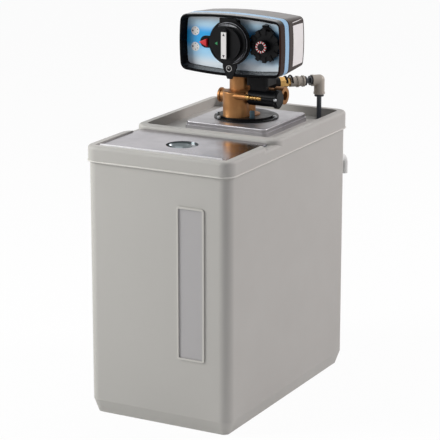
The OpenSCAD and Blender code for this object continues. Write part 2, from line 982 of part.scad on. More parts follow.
module safety_float() {
    color(fitting_grey)
        translate([well_x, well_y, 0])
            difference() {
                union() {
                    rod_z(float_z, float_z + float_h, float_r - 2);
                    rod_z(float_z + 2, float_z + float_h - 2, float_r);
                }
                rod_z(float_z - 1, float_z + float_h + 1, pipe_r + run_gap);
            }
}

module air_check() {
    color(inner_white)
        translate([well_x, well_y, 0])
            difference() {
                union() {
                    rod_z(tub_floor, tub_floor + 3, check_r);
                    rod_z(tub_floor + 2, tub_floor + check_h, check_r - 1.5);
                }
                rod_z(tub_floor + 3, tub_floor + check_h - 5, check_r - 3.5);
                rod_z(tub_floor + check_h - 6, tub_floor + check_h + 1, pipe_bore);
                for (a = [0, 90])
                    rotate(a)
                        translate([-check_r, -2, tub_floor + 6])
                            cube([2 * check_r, 4, 16]);
            }
}

// Resin tank

function tank_side(r, z0, z1, neck) = concat(
    [[0, z0], [r - tank_foot_w, z0]],
    [for (i = [1:6]) let (a = 90 * i / 6)
        [r - tank_foot_w * (1 - sin(a)), z0 + tank_foot_h * (1 - cos(a))]],
    [for (i = [0:8]) let (a = shoulder_turn * i / 8)
        [neck + (r - neck) * cos(a), z1 - shoulder_drop + shoulder_h * sin(a)]],
    [[neck, z1 - neck_l]]
);

module resin_tank() {
    color(tank_blue)
        translate([0, tank_y, 0])
            difference() {
                rotate_extrude($fn = 96)
                    polygon(concat(tank_side(tank_r, tub_floor, plate_z, neck_r),
                                   [[neck_r, plate_z], [0, plate_z]]));
                rotate_extrude($fn = 96)
                    polygon(concat(tank_side(tank_r - tank_wall, tub_floor + tank_wall,
                                             plate_z - tank_wall, neck_bore),
                                   [[neck_bore, plate_z + 1], [0, plate_z + 1]]));
            }
}

module riser_tube() {
    color(inner_white)
        translate([0, tank_y, 0])
            tube_z(tub_floor + tank_wall + strainer_seat, base_z - riser_drop,
                   riser_r, riser_r - riser_wall);
}

module bottom_strainer() {
    z0 = tub_floor + tank_wall;
    color(inner_white)
        translate([0, tank_y, 0])
            difference() {
                union() {
                    rod_z(z0, z0 + strainer_foot, riser_r + strainer_foot_w);
                    rod_z(z0 + strainer_foot / 2, z0 + strainer_h, riser_r + strainer_w);
                }
                rod_z(z0 + strainer_seat, z0 + strainer_h + 1, riser_r + run_gap);
                rod_z(z0 + strainer_sink, z0 + strainer_seat + 1, riser_r - riser_wall);
                for (a = [0:30:150])
                    rotate(a)
                        translate([-riser_r - strainer_foot_w, -strainer_slot / 2, z0 + strainer_slot_z])
                            cube([2 * (riser_r + strainer_foot_w), strainer_slot, strainer_slot_h]);
            }
}

module top_strainer() {
    z1 = base_z - spigot_l;
    color(inner_white)
        translate([0, tank_y, 0])
            difference() {
                union() {
                    rod_z(z1 - 4, z1, spigot_r - 2);
                    translate([0, 0, z1 - strainer_l])
                        cylinder(h = strainer_l - 3, r1 = riser_r + 3, r2 = spigot_r - 3);
                }
                rod_z(z1 - strainer_l - 1, z1 + 1, riser_r + run_gap);
                for (a = [15:30:165])
                    rotate(a)
                        translate([-spigot_r, -strainer_slot / 2, z1 - strainer_l + 5])
                            cube([2 * spigot_r, strainer_slot, strainer_l - 11]);
            }
}

module neck_ring() {
    color(black)
        translate([0, tank_y, 0])
            difference() {
                union() {
                    rod_z(plate_z, base_z - ring_step, ring_r);
                    rod_z(plate_z, base_z, ring_r - ring_land);
                }
                rod_z(plate_z - 1, base_z - ring_lip, neck_bore);
                rod_z(plate_z, base_z + 1, collar_r + run_gap);
            }
}

// Valve body

module chamber_edge() {
    top = base_z + chamber_h;
    polygon(concat([[0, base_z], [chamber_r, base_z]],
                   arc(chamber_r - chamber_edge_r, top - chamber_edge_r, chamber_edge_r, 0, 90, 3),
                   [[0, top]]));
}

module side_port(reach, gap = 0) {
    rod_x(0, reach, port_r + gap);
    rod_x(reach - port_lip, reach, port_r + port_lip_rise + gap);
}

module at_outlet() {
    translate([0, tank_y + port_lag, base_z + outlet_rise])
        children();
}

// Outlet port with its nut, grown by a gap where another piece makes room for it
module outlet_form(gap = 0) {
    side_port(outlet_reach, gap);
    rod_x(outlet_reach - gap - 1, outlet_end, outlet_nut_r + gap);
}

module valve_body() {
    color(bronze)
        difference() {
            union() {
                translate([0, tank_y, 0]) {
                    rod_z(base_z - spigot_l, base_z - ring_lip, spigot_r);
                    rod_z(base_z - spigot_l, base_z + 1, collar_r);
                }
                translate([-valve_shift, tank_y + core_lag, 0])
                    rod_z(base_z, base_z + core_h, core_r);
                translate([-valve_shift, chamber_y, 0])
                    rotate_extrude()
                        chamber_edge();
                translate([-valve_shift, tower_y, 0])
                    rod_z(base_z, tower_top, tower_r);
                translate([0, tank_y + port_lag, base_z + inlet_rise])
                    mirror([1, 0, 0])
                        side_port(inlet_reach);
                at_outlet()
                    outlet_form();
                translate([0, barrel_y, barrel_z])
                    rod_x(0, barrel_x, barrel_r - 2);
                translate([-valve_shift, nozzle_y, nozzle_z])
                    rod_x(0, nozzle_x + valve_shift, nozzle_boss_r);
                translate([-valve_shift, tank_y + core_lag, base_z + drain_rise]) {
                    rod_y(0, drain_start, drain_r + 2.5);
                    rod_y(0, drain_start + drain_l, drain_r);
                }
            }
            translate([-valve_shift, tower_y, 0])
                rod_z(stack_z, tower_top + 1, stack_r);
            translate([0, tank_y, 0])
                rod_z(base_z - spigot_l - 1, base_z - riser_drop, riser_r + seat_gap);
            translate([0, tank_y + port_lag, base_z + inlet_rise])
                rod_x(-inlet_reach - 1, port_depth - inlet_reach, port_bore);
            at_outlet()
                rod_x(outlet_end - port_depth, outlet_end + 1, port_bore);
            translate([-valve_shift, tank_y + core_lag, base_z + drain_rise])
                rod_y(drain_start, drain_start + drain_l + 1, drain_r - 2);
        }
}

module piston() {
    rod_top = dial_z - crank_r + yoke_h / 2;
    color(brass)
        translate([-valve_shift, tower_y, 0])
            difference() {
                union() {
                    difference() {
                        rod_z(piston_z, piston_z + piston_l, piston_r);
                        for (z = [piston_land, piston_l - piston_land - groove_w])
                            translate([0, 0, piston_z + z])
                                tube_z(0, groove_w, piston_r + 1, piston_r - groove_depth);
                    }
                    rod_z(piston_z + 1, rod_top - 1, rod_r);
                    translate([-yoke_w / 2, yoke_y - tower_y, rod_top - yoke_h])
                        cube([yoke_w, yoke_t, yoke_h]);
                }
                translate([3 - yoke_w / 2, yoke_y - tower_y - 1, rod_top - yoke_h / 2 - crank_pin_r - 0.2])
                    cube([yoke_w - 6, yoke_t + rod_r, 2 * crank_pin_r + 0.4]);
            }
}

module seal_rings() {
    color(black)
        translate([-valve_shift, tower_y, 0])
            for (i = [0:seal_count - 1])
                let (z = stack_z + i * (seal_t + spacer_h))
                    tube_z(z, z + seal_t, stack_r - run_gap, piston_r + run_gap);
}

module seal_spacers() {
    color(inner_white)
        translate([-valve_shift, tower_y, 0])
            for (i = [0:seal_count - 2])
                let (z = stack_z + seal_t + i * (seal_t + spacer_h))
                    difference() {
                        tube_z(z, z + spacer_h, stack_r - run_gap, piston_r + 0.8);
                        for (a = [0:60:120])
                            rotate(a)
                                translate([-stack_r - 1, -2, z + 2])
                                    cube([2 * stack_r + 2, 4, spacer_h - 4]);
                    }
}

module end_plug() {
    color(inner_white)
        translate([-valve_shift, tower_y, 0])
            tube_z(plug_z, plug_z + plug_h, stack_r - run_gap, rod_r + run_gap);
}

// Injector and brine valve

module injector_body() {
    color(black)
        difference() {
            union() {
                translate([0, barrel_y, barrel_z])
                    rod_x(barrel_x, barrel_x + barrel_l, barrel_r);
                translate([block_x + block_w / 2, block_y + block_d / 2, 0])
                    rounded_prism(block_w, block_d, 6, block_z, block_top);
                translate([barrel_x + 2, barrel_y - web_t / 2, barrel_z])
                    cube([web_l, web_t, block_z - barrel_z + 2]);
                on_line()
                    rod_x(boss_start, hex_start, hex_r);
            }
            translate([-valve_shift, tower_y, 0])
                rod_z(base_z, head_z, tower_r + seat_gap);
            translate([-valve_shift, tank_y + core_lag, 0])
                rod_z(base_z, base_z + core_h + seat_gap, core_r + seat_gap);
            at_outlet()
                outlet_form(seat_gap);
            translate([stem_x, stem_y, 0])
                rod_z(stem_foot - stem_travel - 2, head_z, stem_r + run_gap);
        }
}

module injector_cap() {
    x0 = barrel_x + barrel_l;
    color(black)
        translate([0, barrel_y, barrel_z]) {
            rod_x(x0, x0 + cap_t - 1.5, cap_r);
            rod_x(x0 + 1, x0 + cap_t, cap_r - 2);
        }
}

module injector_nozzle() {
    color(brass)
        translate([nozzle_x, nozzle_y, nozzle_z]) {
            rod_x(0, 6, nozzle_r + 1);
            rod_x(5, nozzle_l, nozzle_r - 0.6);
            for (i = [0:2])
                rod_x(9 + 6 * i, 12 + 6 * i, nozzle_r);
        }
}

module nozzle_sleeve() {
    x0 = nozzle_x + nozzle_l;
    color(black)
        translate([0, nozzle_y, nozzle_z]) {
            rod_x(x0, x0 + sleeve_l, nozzle_r - 1);
            rod_x(x0 + sleeve_l - 3, x0 + sleeve_l, nozzle_r - 0.4);
        }
}

module brine_stem() {
    color(brass)
        translate([stem_x, stem_y, 0]) {
            rod_z(stem_foot, stem_top, stem_r);
            rod_z(stem_top - 4, stem_top - 2, stem_r + 2);
        }
}

// Brine line

module brine_fitting() {
    color(brass)
        on_line()
            difference() {
                union() {
                    translate([hex_start, 0, 0])
                        rotate([0, 90, 0])
                            cylinder(h = hex_l, r = hex_r, $fn = 6);
                    rod_x(hex_start + hex_l - 1, conn_start, fit_r - 2);
                }
                rod_x(hex_start - 1, conn_start + 1, tube_bore);
            }
}

// Bore of a push-fit mouth at the origin: the collet's guide, then the tube's stop
module push_fit_bore(reach) {
    rod_x(-1, grip_depth, collet_r + run_gap);
    rod_x(0, stop_depth, tube_r + run_gap);
    rod_x(0, reach, tube_bore);
}

module line_connector() {
    color(fitting_grey)
        on_line()
            difference() {
                union() {
                    rod_x(conn_start, conn_end, fit_r - 0.8);
                    for (s = [conn_start + 12, conn_end - 3])
                        rod_x(s, s + 3, fit_r + 0.6);
                }
                translate([conn_end, 0, 0])
                    rotate(180)
                        push_fit_bore(conn_l + 1);
            }
}

// Collet at a push-fit mouth, ready to be pressed in towards +X
module collet() {
    f = collet_travel + seat_gap;
    difference() {
        union() {
            rod_x(-f - collet_flange_t, -f, collet_flange_r);
            rod_x(-f - 1, grip_depth - f - 1, collet_r);
        }
        rod_x(-f - collet_flange_t - 1, grip_depth, tube_r + run_gap);
    }
}

module connector_collet() {
    color(tube_grey)
        on_line()
            translate([conn_end, 0, 0])
                rotate(180)
                    collet();
}

module link_tube() {
    color(tube_grey)
        on_line()
            difference() {
                rod_x(conn_end - stop_depth, elbow_mouth + stop_depth, tube_r);
                rod_x(conn_end - stop_depth - 1, elbow_mouth + stop_depth + 1, tube_bore);
            }
}

module line_elbow() {
    color(fitting_grey)
        on_line()
            difference() {
                union() {
                    rod_x(elbow_mouth, elbow_reach, fit_r);
                    rod_x(elbow_mouth, elbow_mouth + 3, fit_r + 0.7);
                    translate([elbow_reach, 0, 0]) {
                        sphere(fit_r);
                        rod_z(-elbow_leg, 0, fit_r);
                        rod_z(-elbow_leg, 3 - elbow_leg, fit_r + 0.7);
                    }
                }
                translate([elbow_mouth, 0, 0])
                    push_fit_bore(elbow_reach - elbow_mouth);
                translate([elbow_reach, 0, -elbow_leg])
                    rotate([0, -90, 0])
                        push_fit_bore(elbow_leg);
            }
}

module elbow_collet_in() {
    color(tube_grey)
        on_line()
            translate([elbow_mouth, 0, 0])
                collet();
}

module elbow_collet_out() {
    color(tube_grey)
        on_line()
            translate([elbow_reach, 0, -elbow_leg])
                rotate([0, -90, 0])
                    collet();
}

// Stops along the tube's middle line: the way it has gone towards the well, its height and its tilt
bend_steps = 5;
tube_stops = concat(
    [[0, line_z - elbow_leg + stop_depth, 0]],
    [for (i = [0:bend_steps]) let (a = bend_turn * i / bend_steps)
        [bend_r * (1 - cos(a)), bend_z - bend_r * sin(a), a]],
    [for (i = [bend_steps - 1:-1:0]) let (a = bend_turn * i / bend_steps)
        [tube_shift - bend_r * (1 - cos(a)), bend_z - bend_drop + bend_r * sin(a), a]],
    [[tube_shift, socket_top - stop_depth, 0]]
);

// Corners of the tube's wall at one stop
tube_sides = 16;
function tube_ring(stop, r) =
    [for (k = [0:tube_sides - 1]) let (a = 360 / tube_sides * k)
        [stop[0] + r * cos(a) * cos(stop[2]), r * sin(a), stop[1] + r * cos(a) * sin(stop[2])]];

// Two triangles that close a four-sided face
function split(q) = [[q[0], q[1], q[2]], [q[0], q[2], q[3]]];

module brine_tube() {
    last = len(tube_stops) - 1;
    inner = len(tube_stops) * tube_sides;
    points = [for (r = [tube_r, tube_bore], stop = tube_stops, p = tube_ring(stop, r)) p];
    walls = [
        for (i = [0:last - 1], k = [0:tube_sides - 1])
            let (a = i * tube_sides + k, b = i * tube_sides + (k + 1) % tube_sides)
                each concat(
                    split([a, b, b + tube_sides, a + tube_sides]),
                    split([a + inner, a + inner + tube_sides, b + inner + tube_sides, b + inner])
                )
    ];
    ends = [
        for (k = [0:tube_sides - 1])
            let (n = (k + 1) % tube_sides, a = last * tube_sides + k, b = last * tube_sides + n)
                each concat(split([k, k + inner, n + inner, n]), split([a, b, b + inner, a + inner]))
    ];
    color(tube_grey)
        translate([tube_x, tube_y, 0])
            rotate(bend_heading)
                polyhedron(points, concat(walls, ends));
}

// Timer head

module timer_housing() {
    color(black)
        difference() {
            hull() {
                upright(bezel_y, bezel_y + bezel_edge / 4)
                    at_head(-bezel_edge);
                upright(bezel_y + bezel_edge / 3, bezel_y + bezel_edge / 2)
                    at_head(-bezel_edge / 4);
                upright(bezel_y + bezel_edge, rear_y)
                    at_head();
            }
            difference() {
                hull() {
                    upright(bezel_y - 1, bezel_y)
                        window();
                    upright(panel_y, floor_y)
                        window(window_draft);
                }
                translate([wheel_x, 0, wheel_z])
                    day_pointer();
            }
            // Groove that the trim band lies in, and the cavity behind the floor
            upright(band_y, band_end)
                difference() {
                    at_head(1);
                    at_head(-band_t);
                }
            upright(back_y, rear_y + 1)
                at_head(-cavity_inset);
            upright(bezel_y - 1, bracket_y + bracket_t + seat_gap)
                bracket_lug(seat_gap);
            translate([0, 0, dial_z])
                rod_y(bezel_y, back_y + 1, hub_r + pass_gap);
            translate([wheel_x, 0, wheel_z])
                rod_y(bezel_y, back_y + 1, wheel_shaft_r + pass_gap);
        }
}

// Fixed pointer over the day wheel
module day_pointer(gap = 0) {
    upright(wheel_y - gap, floor_y + 1)
        translate([0, wheel_r + tab_out + tab_travel + pointer_gap + pointer_h / 2])
            rounded_rect(pointer_w + 2 * gap, pointer_h + 2 * gap, pointer_h / 2 - 0.5 + gap);
}

module face_panel() {
    color(panel_blue)
        difference() {
            upright(panel_y, floor_y)
                window(window_draft + seat_gap);
            translate([0, 0, dial_z])
                rod_y(bezel_y, back_y, hub_r + pass_gap);
            translate([wheel_x, 0, wheel_z])
                rod_y(bezel_y, back_y, wheel_shaft_r + pass_gap);
            translate([wheel_x, 0, wheel_z])
                day_pointer(seat_gap);
        }
}

module trim_band() {
    color(pale_blue)
        upright(band_y, band_end)
            difference() {
                at_head();
                at_head(run_gap - band_t);
            }
}

module rear_cover() {
    y1 = rear_y + cover_depth;
    foot_x = -valve_shift - tower_r - foot_gap;
    foot_w = stem_x + foot_past + foot_gap - foot_x;
    foot_l = tower_y + tower_r + foot_gap + 1 - rear_y;
    color(head_brown)
        difference() {
            hull() {
                upright(rear_y, rear_y + 2)
                    at_head();
                upright(y1 - 3, y1 - 1)
                    at_head(0.3 - cover_draft);
                upright(y1 - 1, y1)
                    at_head(-cover_draft - 1.2);
            }
            hull() {
                upright(rear_y - 1, rear_y + 2)
                    at_head(-cover_wall);
                upright(y1 - cover_wall - 1, y1 - cover_wall)
                    at_head(-cover_draft - cover_wall);
            }
            // The foot is open where the head stands on the valve
            translate([foot_x, rear_y - 1, head_z - 1])
                cube([foot_w, foot_l, tower_top + chassis_t + 2 - head_z]);
        }
}

module chassis_plate() {
    foot_x = -valve_shift - tower_r;
    foot_w = stem_x + foot_past - foot_x;
    foot_l = tower_y + tower_r - back_y;
    color(fitting_grey)
        difference() {
            union() {
                upright(back_y, back_y + chassis_t)
                    at_head(-chassis_inset);
                translate([foot_x, back_y, tower_top])
                    cube([foot_w, foot_l, chassis_t]);
            }
            translate([0, 0, dial_z])
                rod_y(back_y - 1, back_y + chassis_t + 1, hub_r + run_gap);
            translate([wheel_x, 0, wheel_z])
                rod_y(back_y - 1, back_y + chassis_t + 1, wheel_shaft_r + run_gap);
            translate([-valve_shift, tower_y, 0])
                rod_z(tower_top - 1, tower_top + chassis_t + 1, rod_r + pass_gap);
            translate([stem_x, stem_y, 0])
                rod_z(tower_top - 1, tower_top + chassis_t + 1, stem_r + pass_gap);
        }
}

// Lug that hangs from the dial's bracket over the bezel's foot
module bracket_lug(gap = 0) {
    w = lug_w / 2 + gap;
    foot = lug_foot_w / 2 + gap;
    polygon([[-w, dial_z - dial_r], [-w, lug_z], [-foot, lug_foot_z - gap],
             [foot, lug_foot_z - gap], [w, lug_z], [w, dial_z - dial_r]]);
}

module dial_bracket() {
    color(black)
        difference() {
            union() {
                upright(bracket_y, bracket_y + bracket_t) {
                    translate([0, dial_z])
                        circle(dial_r + bracket_rim);
                    translate([bracket_tab_x, dial_z])
                        square([bracket_tab_w, bracket_tab_z - dial_z]);
                    translate([button_x, button_z])
                        circle(ear_r);
                    translate([button_x, button_z - ear_r])
                        square([-button_x - dial_r / 2, 2 * ear_r]);
                    bracket_lug();
                }
                for (x = [4, bracket_tab_w - 4])
                    translate([bracket_tab_x + x, 0, dial_z + dial_r - 2])
                        rod_y(bracket_y, panel_y, 3.5);
            }
            translate([0, 0, dial_z])
                rod_y(bracket_y - 1, back_y, hub_r + pass_gap);
            translate([button_x, 0, button_z])
                rod_y(bracket_y - 1, bracket_y + bracket_t + 1, button_r + run_gap);
        }
}

module hour_dial() {
    color(inner_white)
        translate([0, 0, dial_z])
            difference() {
                union() {
                    rod_y(dial_y, dial_y + dial_t, dial_r);
                    rod_y(dial_y, gear_y + gear_t, hub_r);
                    upright(gear_y, gear_y + gear_t)
                        rotate(mesh_turn)
                            spur_gear(dial_teeth);
                }
                rod_y(dial_y - 1, gear_y + gear_t + 1, shaft_r + run_gap);
            }
}

// Crescents in the knob's disc that show the hour dial, each with its direction and half its turn
module knob_windows() {
    r = knob_r - knob_edge;
    for (c = crescents)
        rotate(c[0])
            difference() {
                circle(r);
                translate([r * cos(c[1]) - sqrt(pow(crescent_r, 2) - pow(r * sin(c[1]), 2)), 0])
                    circle(crescent_r, $fn = 180);
            }
}

module regen_knob() {
    bar_l = 2 * drum_r - 4;
    color(black)
        translate([0, 0, dial_z]) {
            difference() {
                upright(knob_y - knob_t, knob_y)
                    circle(knob_r);
                upright(knob_y - knob_t - 1, knob_y + 1)
                    knob_windows();
            }
            // Raised half disc right of the grip bar
            upright(knob_y - knob_t - drum_h, knob_y - knob_t + 1)
                intersection() {
                    circle(drum_r);
                    translate([0, -drum_r])
                        square([drum_r, 2 * drum_r]);
                }
            upright(knob_y - grip_h, knob_y - knob_t + 1)
                rounded_rect(grip_w, bar_l, grip_w / 2 - 0.5);
            rod_y(knob_y - 1, cam_y + cam_t, shaft_r);
        }
}

module program_cam() {
    color(fitting_grey)
        translate([0, 0, dial_z])
            difference() {
                union() {
                    rod_y(cam_y, cam_y + cam_t, cam_r);
                    translate([0, 0, cam_lift])
                        rod_y(cam_y, cam_y + cam_t, cam_r);
                    rod_y(cam_y, cam_y + cam_t + 3, shaft_r + 3);
                    translate([0, 0, -crank_r])
                        rod_y(cam_y + 1, tower_y - rod_r - pass_gap, crank_pin_r);
                }
                rod_y(cam_y - 1, cam_y + cam_t, shaft_r);
            }
}

module red_button() {
    y1 = bracket_y - button_travel - seat_gap;
    color(signal_red)
        translate([button_x, 0, button_z]) {
            rod_y(y1 - 1, bracket_y + bracket_t, button_r);
            upright(y1 - button_t, y1)
                polygon([[-button_l, 0], [button_r + 1, button_h / 2], [button_r + 1, -button_h / 2]]);
        }
}

module day_wheel() {
    color(black)
        translate([wheel_x, 0, wheel_z])
            difference() {
                union() {
                    upright(wheel_y, wheel_y + wheel_t)
                        circle(wheel_r);
                    rod_y(wheel_y - wheel_hub_h, wheel_y + 1, wheel_hub_r);
                    rod_y(wheel_y, back_y + chassis_t, wheel_shaft_r);
                }
                for (i = [0:day_count - 1])
                    rotate([0, 360 / day_count * i, 0])
                        translate([-tab_w / 2 - run_gap, wheel_y - 1, wheel_r + tab_out - tab_l - seat_gap])
                            cube([tab_w + 2 * run_gap, tab_depth + 1, tab_l + 2]);
            }
}

module day_tab(i) {
    color(black)
        translate([wheel_x, 0, wheel_z])
            rotate([0, 360 / day_count * (i - 1), 0])
                translate([-tab_w / 2, wheel_y + tab_depth - run_gap - tab_h, wheel_r + tab_out - tab_l])
                    cube([tab_w, tab_h, tab_l]);
}

module drive_motor() {
    color(fitting_grey)
        difference() {
            union() {
                translate([motor_x, 0, motor_z])
                    rod_y(motor_y, motor_y + motor_l, motor_r);
                for (s = [-1, 1])
                    translate([post_x, 0, motor_z + s * post_rise])
                        rod_y(back_y + chassis_t, motor_y + 1, post_r);
            }
            translate([pinion_x, 0, pinion_z])
                rod_y(motor_y - 1, motor_y + 6, pinion_shaft_r + run_gap);
        }
}

module motor_pinion() {
    color(brass)
        translate([pinion_x, 0, pinion_z]) {
            upright(gear_y, gear_y + gear_t)
                rotate(mesh_turn + 180 + 180 / pinion_teeth)
                    spur_gear(pinion_teeth);
            rod_y(gear_y + 1, motor_y + 5, pinion_shaft_r);
        }
}

cabinet_body();
top_cover();
salt_lid();
valve_plate();
overflow_elbow();
overflow_nut();
salt_grid();
brine_well();
pickup_pipe();
safety_float();
air_check();
resin_tank();
riser_tube();
bottom_strainer();
top_strainer();
neck_ring();
valve_body();
piston();
seal_rings();
seal_spacers();
end_plug();
injector_body();
injector_cap();
injector_nozzle();
nozzle_sleeve();
brine_stem();
brine_fitting();
line_connector();
connector_collet();
link_tube();
line_elbow();
elbow_collet_in();
elbow_collet_out();
brine_tube();
timer_housing();
face_panel();
trim_band();
rear_cover();
chassis_plate();
dial_bracket();
hour_dial();
regen_knob();
program_cam();
red_button();
day_wheel();
drive_motor();
motor_pinion();
for (i = [1:day_count])
    day_tab(i);
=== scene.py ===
"""Finishes, dial marks and small trim of a cabinet water softener, with its stage and camera."""

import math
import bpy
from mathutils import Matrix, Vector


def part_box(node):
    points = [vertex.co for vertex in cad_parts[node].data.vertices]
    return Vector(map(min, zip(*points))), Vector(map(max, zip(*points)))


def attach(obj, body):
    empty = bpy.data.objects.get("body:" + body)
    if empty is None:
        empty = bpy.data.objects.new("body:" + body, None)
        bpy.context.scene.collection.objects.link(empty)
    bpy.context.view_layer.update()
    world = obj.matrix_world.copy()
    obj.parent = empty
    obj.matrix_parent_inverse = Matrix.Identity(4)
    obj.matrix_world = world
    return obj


bl_info = {
    "name": "Cabinet water softener",
    "version": (1, 0, 0),
    "blender": (4, 5, 0),
    "location": "View3D > Sidebar > Softener",
    "description": "Dresses the packed water softener with its finishes, dial marks and small trim",
    "category": "Object",
}

import bmesh
import bpy
from bpy.props import FloatProperty, FloatVectorProperty, IntProperty, PointerProperty, StringProperty
from mathutils import Matrix, Vector
from mathutils.bvhtree import BVHTree

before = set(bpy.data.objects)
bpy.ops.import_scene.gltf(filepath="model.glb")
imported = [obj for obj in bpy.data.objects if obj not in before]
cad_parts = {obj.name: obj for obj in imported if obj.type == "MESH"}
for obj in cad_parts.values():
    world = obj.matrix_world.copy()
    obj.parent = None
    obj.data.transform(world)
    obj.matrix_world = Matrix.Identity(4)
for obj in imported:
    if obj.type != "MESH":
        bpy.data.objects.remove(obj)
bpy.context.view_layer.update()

MM = 0.001
FRONT = Vector((0, -1, 0))
UP = Vector((0, 0, 1))


class SoftenerFinish(bpy.types.PropertyGroup):
    """Colours of the softener's materials, as sRGB hex values."""

    cabinet: StringProperty(
        name="Cabinet", description="Warm light grey of the tub and its cover", default="#b4b2ad"
    )
    cabinet_drift: StringProperty(
        name="Cabinet drift", description="Tone that the cabinet's grey drifts to", default="#b2b0ab"
    )
    silver: StringProperty(name="Silver", description="Metallised salt lid", default="#9c989d")
    plate: StringProperty(name="Plate", description="Painted valve plate", default="#b0aeb1")
    bronze: StringProperty(
        name="Bronze", description="Middle tone of the cast valve", default="#9c7048"
    )
    # The dark bronze tone is the casting's own mottle, and also the shaded side of the painted highlight
    # streaks.
    bronze_dark: StringProperty(
        name="Bronze mottle and painted shade", description="Darker streaks of the cast valve", default="#8a5f3a"
    )
    brass: StringProperty(name="Brass", description="Turned brass fittings", default="#b8935c")
    black: StringProperty(name="Black", description="Black mouldings of the head", default="#08080a")
    # This warm brown is a painted highlight on the bezel's right rim.
    bezel_brown: StringProperty(
        name="Bezel brown", description="Warm tint of the bezel's right side", default="#33201b"
    )
    rear_brown: StringProperty(
        name="Rear cover", description="Dark brown grey of the head's cover", default="#3b312e"
    )
    band: StringProperty(name="Trim band", description="Pale blue of the band", default="#8fbbdd")
    acetal: StringProperty(name="Acetal", description="Warm grey push-fit bodies", default="#b8b0a4")
    collet: StringProperty(name="Collet", description="Dark push-fit collets", default="#34363a")
    tube: StringProperty(name="Tube", description="Dark grey brine tube", default="#3a3f46")
    red: StringProperty(name="Red", description="Red button and wheel marks", default="#d2202a")
    green: StringProperty(name="Green", description="Mark on the knob", default="#2f9a5c")
    white: StringProperty(name="White", description="Label stock and marks", default="#ece9e6")
    ink: StringProperty(name="Ink", description="Dark printed marks", default="#23262b")
    tag: StringProperty(name="Tag", description="Blue-grey lock tag", default="#3a515c")


class SoftenerTrim(bpy.types.PropertyGroup):
    """Sizes of the marks and small trim."""

    rib_x: FloatProperty(
        name="Rib place", description="Middle of the tub's rib frame", default=58.5 * MM, unit="LENGTH"
    )
    rib_z: FloatProperty(
        name="Rib foot", description="Lower edge of the rib frame", default=113 * MM, unit="LENGTH"
    )
    rib_w: FloatProperty(
        name="Rib width", description="Outer width of the rib frame", default=47 * MM, unit="LENGTH"
    )
    rib_h: FloatProperty(
        name="Rib height", description="Outer height of the rib frame", default=240 * MM, unit="LENGTH"
    )
    rib_t: FloatProperty(
        name="Rib thickness", description="Width of the rib itself", default=3 * MM, unit="LENGTH"
    )
    strip_w: FloatProperty(
        name="Strip width", description="White strip on the knob", default=9.2 * MM, unit="LENGTH"
    )
    strip_l: FloatProperty(
        name="Strip length", description="White strip on the knob", default=42 * MM, unit="LENGTH"
    )
    badge_r: FloatProperty(
        name="Badge radius", description="White discs on the panel", default=7.2 * MM, unit="LENGTH"
    )
    badge_x: FloatProperty(
        name="Badge place", description="Discs left of the dial's axis", default=70.1 * MM, unit="LENGTH"
    )
    badge_step: FloatProperty(
        name="Badge spacing", description="Height between the discs", default=25.3 * MM, unit="LENGTH"
    )
    hours: IntProperty(name="Hours", description="Marks round the hour dial", default=24)
    mark_lift: FloatProperty(
        name="Mark lift", description="Height of printed marks", default=0.12 * MM, unit="LENGTH"
    )
    label_h: FloatProperty(
        name="Label height", description="Bare label on the head's side", default=70 * MM, unit="LENGTH"
    )
    label_l: FloatProperty(
        name="Label length", description="Bare label on the head's side", default=41 * MM, unit="LENGTH"
    )


class SoftenerStage(bpy.types.PropertyGroup):
    """Camera and light."""

    camera_place: FloatVectorProperty(
        name="Camera place",
        description="Where the camera stands",
        default=(1.4730, -2.7303, 1.1122),
        subtype="TRANSLATION",
        unit="LENGTH",
    )
    azimuth: FloatProperty(
        name="Azimuth",
        description="Camera's turn to the right",
        default=math.radians(28.38),
        subtype="ANGLE",
    )
    elevation: FloatProperty(
        name="Elevation", description="Camera's look down", default=math.radians(15.04), subtype="ANGLE"
    )
    lens: FloatProperty(name="Lens", description="Focal length on a 36 mm sensor", default=164.8)
    ambient: FloatProperty(name="Ambient", description="Strength of the even studio light", default=0.24)
    key: FloatProperty(name="Key", description="Power of the soft light at the left", default=39.0)
    fill: FloatProperty(name="Fill", description="Power of the soft light at the right", default=56.0)
    top: FloatProperty(name="Top", description="Power of the soft light above", default=9.0)
    floor_size: FloatProperty(
        name="Floor", description="Radius of the pale floor", default=14.0, unit="LENGTH"
    )


def settings(group):
    """The scene's property group of that name."""
    return getattr(bpy.context.scene, "softener_" + group)


def middle_of(node):
    """Middle of a CAD node's box."""
    low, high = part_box(node)
    return (low + high) / 2


def linear(hex_colour):
    """An sRGB hex value as a linear colour with full alpha."""
    parts = [int(hex_colour[i : i + 2], 16) / 255 for i in (1, 3, 5)]
    return [p / 12.92 if p <= 0.04045 else ((p + 0.055) / 1.055) ** 2.4 for p in parts] + [1.0]


def add(tree, kind, options=(), inputs=()):
    """Adds one shader node. Options are its own settings, inputs are values or sockets to join."""
    node = tree.nodes.new("ShaderNode" + kind)
    for name, value in dict(options).items():
        setattr(node, name, value)
    for key, value in dict(inputs).items():
        if isinstance(value, bpy.types.NodeSocket):
            tree.links.new(value, node.inputs[key])
        else:
            node.inputs[key].default_value = value
    return node


def per_metre(size_mm):
    """Scale of a pattern whose grains are that many millimetres wide."""
    return 1000 / size_mm


def blank(name, roughness, metallic=0.0, **sockets):
    """A material with a principled shader and its object coordinates."""
    material = bpy.data.materials.new(name)
    material.use_nodes = True
    tree = material.node_tree
    shader = tree.nodes["Principled BSDF"]
    shader.inputs["Roughness"].default_value = roughness
    shader.inputs["Metallic"].default_value = metallic
    for key, value in sockets.items():
        shader.inputs[key.replace("_", " ")].default_value = value
    place = add(tree, "TexCoord").outputs["Object"]
    return material, tree, shader, place


